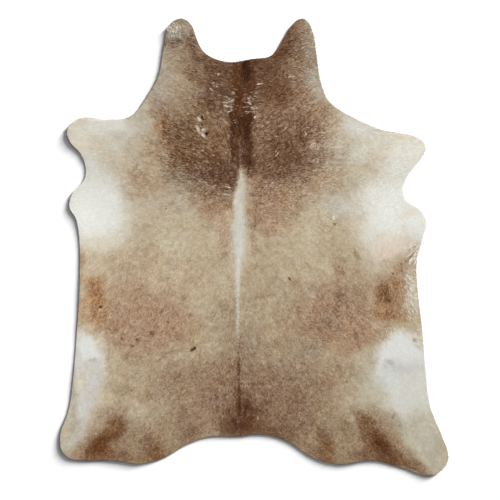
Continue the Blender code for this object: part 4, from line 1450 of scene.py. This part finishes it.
# A group of strokes: its tone, the place of its middle, how far it spreads out and ahead, how
# many strokes it has, and the length, width and turn in degrees of each.
Fleck = namedtuple("Fleck", "tone out ahead reach_out reach_ahead strokes length width turn")
FLECKS = (
    # beside the crest of the neck
    ("pearl", -0.100, 1.840, 0.004, 0.006, 3, 0.014, 0.004, 60),
    ("pearl", -0.115, 1.797, 0.010, 0.010, 5, 0.014, 0.003, 40),
    ("pearl", -0.133, 1.777, 0.012, 0.010, 5, 0.016, 0.003, 150),
    ("pearl", -0.032, 1.763, 0.006, 0.006, 5, 0.014, 0.003, 20),
    ("snow", -0.045, 1.722, 0.015, 0.008, 7, 0.016, 0.002, 165),
    ("snow", -0.055, 1.698, 0.012, 0.004, 5, 0.028, 0.002, 152),
    ("snow", -0.046, 1.675, 0.008, 0.005, 4, 0.014, 0.003, 10),
    ("pearl", -0.055, 1.705, 0.028, 0.045, 16, 0.018, 0.002, 165),
    ("snow", 0.097, 1.800, 0.012, 0.002, 4, 0.022, 0.003, 4),
    ("snow", 0.046, 1.735, 0.008, 0.004, 4, 0.014, 0.002, 10),
    ("snow", 0.046, 1.712, 0.008, 0.005, 4, 0.014, 0.003, 15),
    ("snow", 0.060, 1.690, 0.010, 0.008, 5, 0.014, 0.002, 20),
    ("snow", 0.074, 1.648, 0.006, 0.005, 3, 0.012, 0.003, 30),
    ("pearl", 0.050, 1.715, 0.030, 0.050, 26, 0.020, 0.002, 8),
    ("buff", 0.000, 1.700, 0.070, 0.080, 30, 0.022, 0.0015, 5),
    # scar on the left of the withers
    ("pearl", -0.189, 1.640, 0.003, 0.003, 4, 0.030, 0.008, 132),
    ("snow", -0.187, 1.636, 0, 0, 1, 0.022, 0.008, 132),
    ("coal", -0.173, 1.648, 0.002, 0.006, 3, 0.028, 0.008, 118),
    ("pearl", -0.194, 1.596, 0.005, 0.010, 5, 0.028, 0.009, 104),
    ("coal", -0.176, 1.612, 0.001, 0.006, 2, 0.024, 0.006, 112),
    ("pearl", -0.170, 1.589, 0, 0, 1, 0.026, 0.012, 28),
    ("pearl", -0.170, 1.566, 0.005, 0.004, 6, 0.030, 0.008, 132),
    ("snow", -0.170, 1.563, 0, 0, 1, 0.022, 0.009, 134),
    ("pearl", -0.185, 1.578, 0.006, 0.004, 5, 0.018, 0.004, 150),
    ("coal", -0.154, 1.572, 0, 0, 1, 0.022, 0.014, 140),
    ("coal", -0.155, 1.571, 0, 0, 1, 0.016, 0.010, 150),
    ("bark", -0.145, 1.578, 0, 0, 1, 0.020, 0.008, 130),
    ("bark", -0.176, 1.600, 0, 0, 1, 0.012, 0.005, 60),
    ("bark", -0.198, 1.624, 0, 0, 1, 0.012, 0.005, 150),
    ("buff", -0.150, 1.525, 0.010, 0.006, 4, 0.018, 0.003, 20),
    ("buff", -0.180, 1.600, 0.030, 0.060, 14, 0.016, 0.003, 130),
    ("buff", -0.262, 1.643, 0.006, 0.004, 3, 0.012, 0.004, 150),
    ("buff", -0.124, 1.473, 0.006, 0.004, 3, 0.012, 0.004, 160),
    ("buff", -0.190, 1.430, 0.040, 0.020, 16, 0.014, 0.003, 165),
    ("snow", -0.054, 1.325, 0.012, 0.003, 4, 0.016, 0.003, 175),
    ("pearl", -0.060, 1.292, 0.016, 0.004, 6, 0.016, 0.003, 175),
    ("buff", -0.047, 1.468, 0.001, 0.035, 6, 0.030, 0.002, 92),
    # marks on the right of the withers
    ("pearl", 0.168, 1.556, 0.016, 0.013, 6, 0.014, 0.002, 30),
    ("coal", 0.166, 1.553, 0.015, 0.012, 10, 0.016, 0.003, 160),
    ("pearl", 0.170, 1.480, 0.006, 0.012, 4, 0.018, 0.003, 50),
    ("coal", 0.163, 1.462, 0.004, 0.006, 3, 0.014, 0.004, 40),
    ("pearl", 0.311, 1.600, 0.008, 0.003, 4, 0.012, 0.003, 10),
    ("snow", 0.304, 1.571, 0.003, 0.005, 3, 0.012, 0.003, 80),
    ("buff", 0.330, 1.600, 0.040, 0.050, 16, 0.016, 0.002, 25),
    ("pearl", 0.152, 1.345, 0.006, 0.004, 4, 0.014, 0.003, 150),
    ("pearl", 0.345, 1.400, 0.012, 0.006, 5, 0.014, 0.003, 150),
    ("pearl", 0.425, 1.325, 0.022, 0.014, 12, 0.014, 0.003, 165),
    ("pearl", 0.410, 1.400, 0.012, 0.008, 5, 0.014, 0.003, 160),
    ("snow", 0.435, 1.185, 0.007, 0.008, 6, 0.014, 0.003, 60),
    ("bark", 0.435, 1.155, 0.005, 0.004, 3, 0.014, 0.004, 170),
    ("bark", 0.235, 1.245, 0.003, 0.010, 3, 0.016, 0.002, 110),
    # edges of the neck, and the tips of the ears
    ("pearl", -0.305, 2.045, 0.032, 0.032, 40, 0.018, 0.003, 105),
    ("snow", -0.312, 2.058, 0.026, 0.022, 22, 0.014, 0.002, 125),
    ("pearl", -0.365, 1.750, 0.035, 0.030, 12, 0.022, 0.002, 150),
    ("buff", -0.300, 1.780, 0.060, 0.080, 26, 0.022, 0.002, 150),
    ("pearl", 0.325, 1.830, 0.030, 0.050, 24, 0.020, 0.002, 25),
    ("pearl", 0.248, 1.838, 0.025, 0.008, 8, 0.020, 0.002, 20),
    ("pearl", 0.330, 2.010, 0.012, 0.030, 10, 0.018, 0.002, 70),
    # right flank, where white and brown hair lie side by side
    ("snow", 0.797, 1.020, 0.022, 0.045, 34, 0.030, 0.003, 48),
    ("buff", 0.785, 1.000, 0.026, 0.050, 18, 0.024, 0.003, 48),
    ("bark", 0.785, 1.000, 0.026, 0.050, 7, 0.024, 0.003, 48),
    ("snow", 0.782, 0.890, 0.026, 0.065, 44, 0.022, 0.003, 135),
    ("buff", 0.775, 0.860, 0.026, 0.090, 30, 0.020, 0.003, 125),
    ("snow", 0.785, 0.775, 0.028, 0.060, 30, 0.018, 0.003, 115),
    ("pearl", 0.770, 0.790, 0.035, 0.070, 20, 0.018, 0.003, 120),
    ("buff", 0.700, 0.920, 0.060, 0.040, 30, 0.016, 0.002, 120),
    ("pearl", 0.760, 0.960, 0.040, 0.030, 12, 0.018, 0.002, 130),
    ("bark", 0.730, 0.950, 0.040, 0.030, 7, 0.018, 0.003, 120),
    # ragged upper edges of the white patches
    ("snow", 0.715, 0.665, 0.050, 0.014, 18, 0.018, 0.002, 115),
    ("pearl", 0.650, 0.615, 0.028, 0.030, 20, 0.018, 0.002, 125),
    ("buff", 0.815, 0.640, 0.016, 0.030, 16, 0.022, 0.003, 130),
    ("pearl", -0.700, 0.668, 0.045, 0.018, 26, 0.018, 0.002, 75),
    ("pearl", -0.630, 0.590, 0.020, 0.040, 20, 0.016, 0.003, 50),
    # specks and scratches on the body
    ("coal", -0.215, 0.580, 0.002, 0.002, 4, 0.030, 0.010, 35),
    ("bark", -0.220, 0.615, 0.001, 0.001, 1, 0.012, 0.004, 60),
    ("bark", -0.235, 0.700, 0.001, 0.001, 1, 0.012, 0.004, 60),
    ("coal", 0.230, 0.903, 0.001, 0.001, 3, 0.024, 0.008, 135),
    ("coal", -0.641, 0.775, 0.001, 0.001, 2, 0.020, 0.012, 48),
    ("bark", -0.545, 0.630, 0.002, 0.002, 1, 0.018, 0.009, 50),
    ("bark", -0.475, 0.622, 0.002, 0.002, 1, 0.020, 0.012, 45),
    ("bark", -0.495, 0.595, 0.002, 0.002, 1, 0.014, 0.008, 45),
    ("bark", -0.500, 0.390, 0.001, 0.001, 1, 0.012, 0.006, 40),
    ("bark", 0.490, 0.430, 0.001, 0.001, 1, 0.012, 0.006, 140),
    ("bark", -0.340, 1.225, 0.001, 0.001, 1, 0.011, 0.004, 40),
    ("pearl", -0.283, 0.917, 0.000, 0.000, 1, 0.056, 0.004, 29),
    ("pearl", -0.350, 0.745, 0.010, 0.004, 4, 0.030, 0.002, 52),
    ("pearl", -0.130, 0.703, 0.014, 0.008, 5, 0.020, 0.003, 42),
    ("pearl", 0.235, 0.905, 0.010, 0.008, 3, 0.016, 0.002, 130),
    ("pearl", -0.368, 1.705, 0.002, 0.002, 2, 0.090, 0.002, 146),
    ("pearl", -0.395, 1.215, 0.015, 0.006, 4, 0.012, 0.002, 170),
    ("buff", 0.085, 0.265, 0.006, 0.006, 4, 0.014, 0.003, 110),
    ("bark", 0.070, 1.165, 0, 0, 1, 0.060, 0.002, 78),
    ("pearl", -0.070, 1.293, 0.006, 0.003, 3, 0.016, 0.003, 172),
    ("pearl", -0.048, 1.289, 0.004, 0.002, 2, 0.020, 0.002, 2),
    ("buff", -0.055, 1.337, 0.008, 0.003, 3, 0.022, 0.002, 172),
    ("buff", -0.055, 1.309, 0.010, 0.003, 3, 0.022, 0.002, 175),
    ("coal", -0.058, 1.316, 0.012, 0.002, 3, 0.022, 0.002, 175),
    ("pearl", 0.350, 1.447, 0.014, 0.008, 6, 0.013, 0.002, 20),
    ("pearl", 0.360, 1.565, 0.030, 0.020, 8, 0.012, 0.002, 20),
    ("pearl", 0.430, 1.330, 0.030, 0.014, 10, 0.012, 0.002, 115),
    ("pearl", 0.400, 1.390, 0.060, 0.016, 10, 0.012, 0.002, 170),
    ("pearl", 0.370, 1.250, 0.040, 0.030, 8, 0.012, 0.002, 140),
    ("pearl", 0.150, 1.343, 0.004, 0.002, 2, 0.016, 0.003, 175),
    ("pearl", 0.020, 0.420, 0.020, 0.010, 7, 0.014, 0.002, 95),
)
# The pale hair round a whorl on the right of the withers: the whorl's middle, the nearest and
# farthest of its strokes from there, how many there are, and what all of them have
WHORL_MIDDLE = (0.338, 1.518)
WHORL_RADII = (0.006, 0.026)
WHORL_STROKES = 22
WHORL_STROKE = {
    "tone": "pearl",
    "reach_out": 0.001,
    "reach_ahead": 0.001,
    "strokes": 2,
    "length": 0.012,
    "width": 0.0012,
}


def whorl_flecks(seed):
    """Short strokes laid round the whorl at uneven distances from its middle."""
    chance = np.random.default_rng(seed)
    made = []
    for angle in np.linspace(0, 360, WHORL_STROKES, endpoint=False):
        radius = chance.uniform(*WHORL_RADII)
        out = WHORL_MIDDLE[0] + radius * np.cos(np.radians(angle))
        ahead = WHORL_MIDDLE[1] + radius * np.sin(np.radians(angle))
        made.append(Fleck(out=out, ahead=ahead, turn=angle + 90, **WHORL_STROKE))
    return made


def fleck_hairs(fleck, chance):
    """The root, direction and length of each hair in a group of strokes, and how far it shows."""
    hairs = []
    hair = min(FLECK_HAIR, fleck.length)
    for _ in range(fleck.strokes):
        angle = np.radians(fleck.turn + chance.normal(0, FLECK_TURN))
        middle = np.array([
            fleck.out + BACKBONE_X + fleck.reach_out * chance.uniform(-1, 1),
            fleck.ahead + REAR_Y + fleck.reach_ahead * chance.uniform(-1, 1),
        ])
        along = np.array([np.cos(angle), np.sin(angle)])
        lay = np.ravel(lay_direction(np.array([fleck.out]), np.array([fleck.ahead])))
        if along @ lay < 0:
            along = -along
        aside = np.array([-along[1], along[0]])
        show = 1.0 if fleck.strokes == 1 else chance.uniform(*FLECK_SHOW)
        for _ in range(FEWEST_HAIRS + int(fleck.length * fleck.width / HAIR_COVER)):
            back = chance.uniform(-0.5, 0.5) * (fleck.length - hair) - hair / 2
            root = middle + along * back + aside * chance.uniform(-0.5, 0.5) * fleck.width
            hairs.append((*root, *along, hair, show))
    return np.array(hairs)


def fleck_roots(flecks, hair_side, seed):
    """A mesh of loose points, one for each hair, with its direction, length and colour."""
    flat, heights, faces = hair_side
    surface = BVHTree.FromPolygons(np.column_stack([flat, heights]).tolist(), faces)
    chance = np.random.default_rng(seed)
    groups = [fleck_hairs(fleck, chance) for fleck in flecks]
    starts, along, lengths, show = np.split(np.concatenate(groups), (2, 4, 5), axis=1)
    roots = [surface.find_nearest(Vector((x, y, FLECK_SEARCH_HEIGHT)))[0] for x, y in starts]
    roots = np.array(roots) + (0, 0, FLECK_HEIGHT)
    strong = np.concatenate([[FLECK_TONES[f.tone]] * len(g) for f, g in zip(flecks, groups)])
    coat = coat_tones(roots)
    mesh = bpy.data.meshes.new("fleck roots")
    mesh.from_pydata(roots.tolist(), [], [])
    level = np.zeros(len(roots))
    store_lay(mesh, np.column_stack([along, level]), lengths.ravel(), np.ones(len(roots)))
    store_colours(mesh, linear(coat + show * (strong - coat)))
    return mesh


def stay_at_points(tree):
    """The mesh's own points, with up as it is for the whole rug."""
    points = tree.add("GeometryNodeMeshToPoints", {"Mesh": tree.given["Skin"]})
    up = tree.add("ShaderNodeCombineXYZ", {"Z": 1.0})
    return points.outputs["Points"], up.outputs[0]


flecks = [Fleck(*row) for row in FLECKS] + whorl_flecks(WHORL_SEED)
fleck_ground = fleck_roots(flecks, hair_side, FLECK_HAIR_SEED)
tufts = lock_tree("coat flecks", FLECK_LOCKS, stay_at_points)
fleck_coat = grown("coat_flecks", fleck_ground, tufts, {**FLECK_LOCKS, **lock_parts})
drop_growing_attributes(fleck_coat.data)
planar_uv(fleck_coat.data, outline)
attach(fleck_coat, "root")
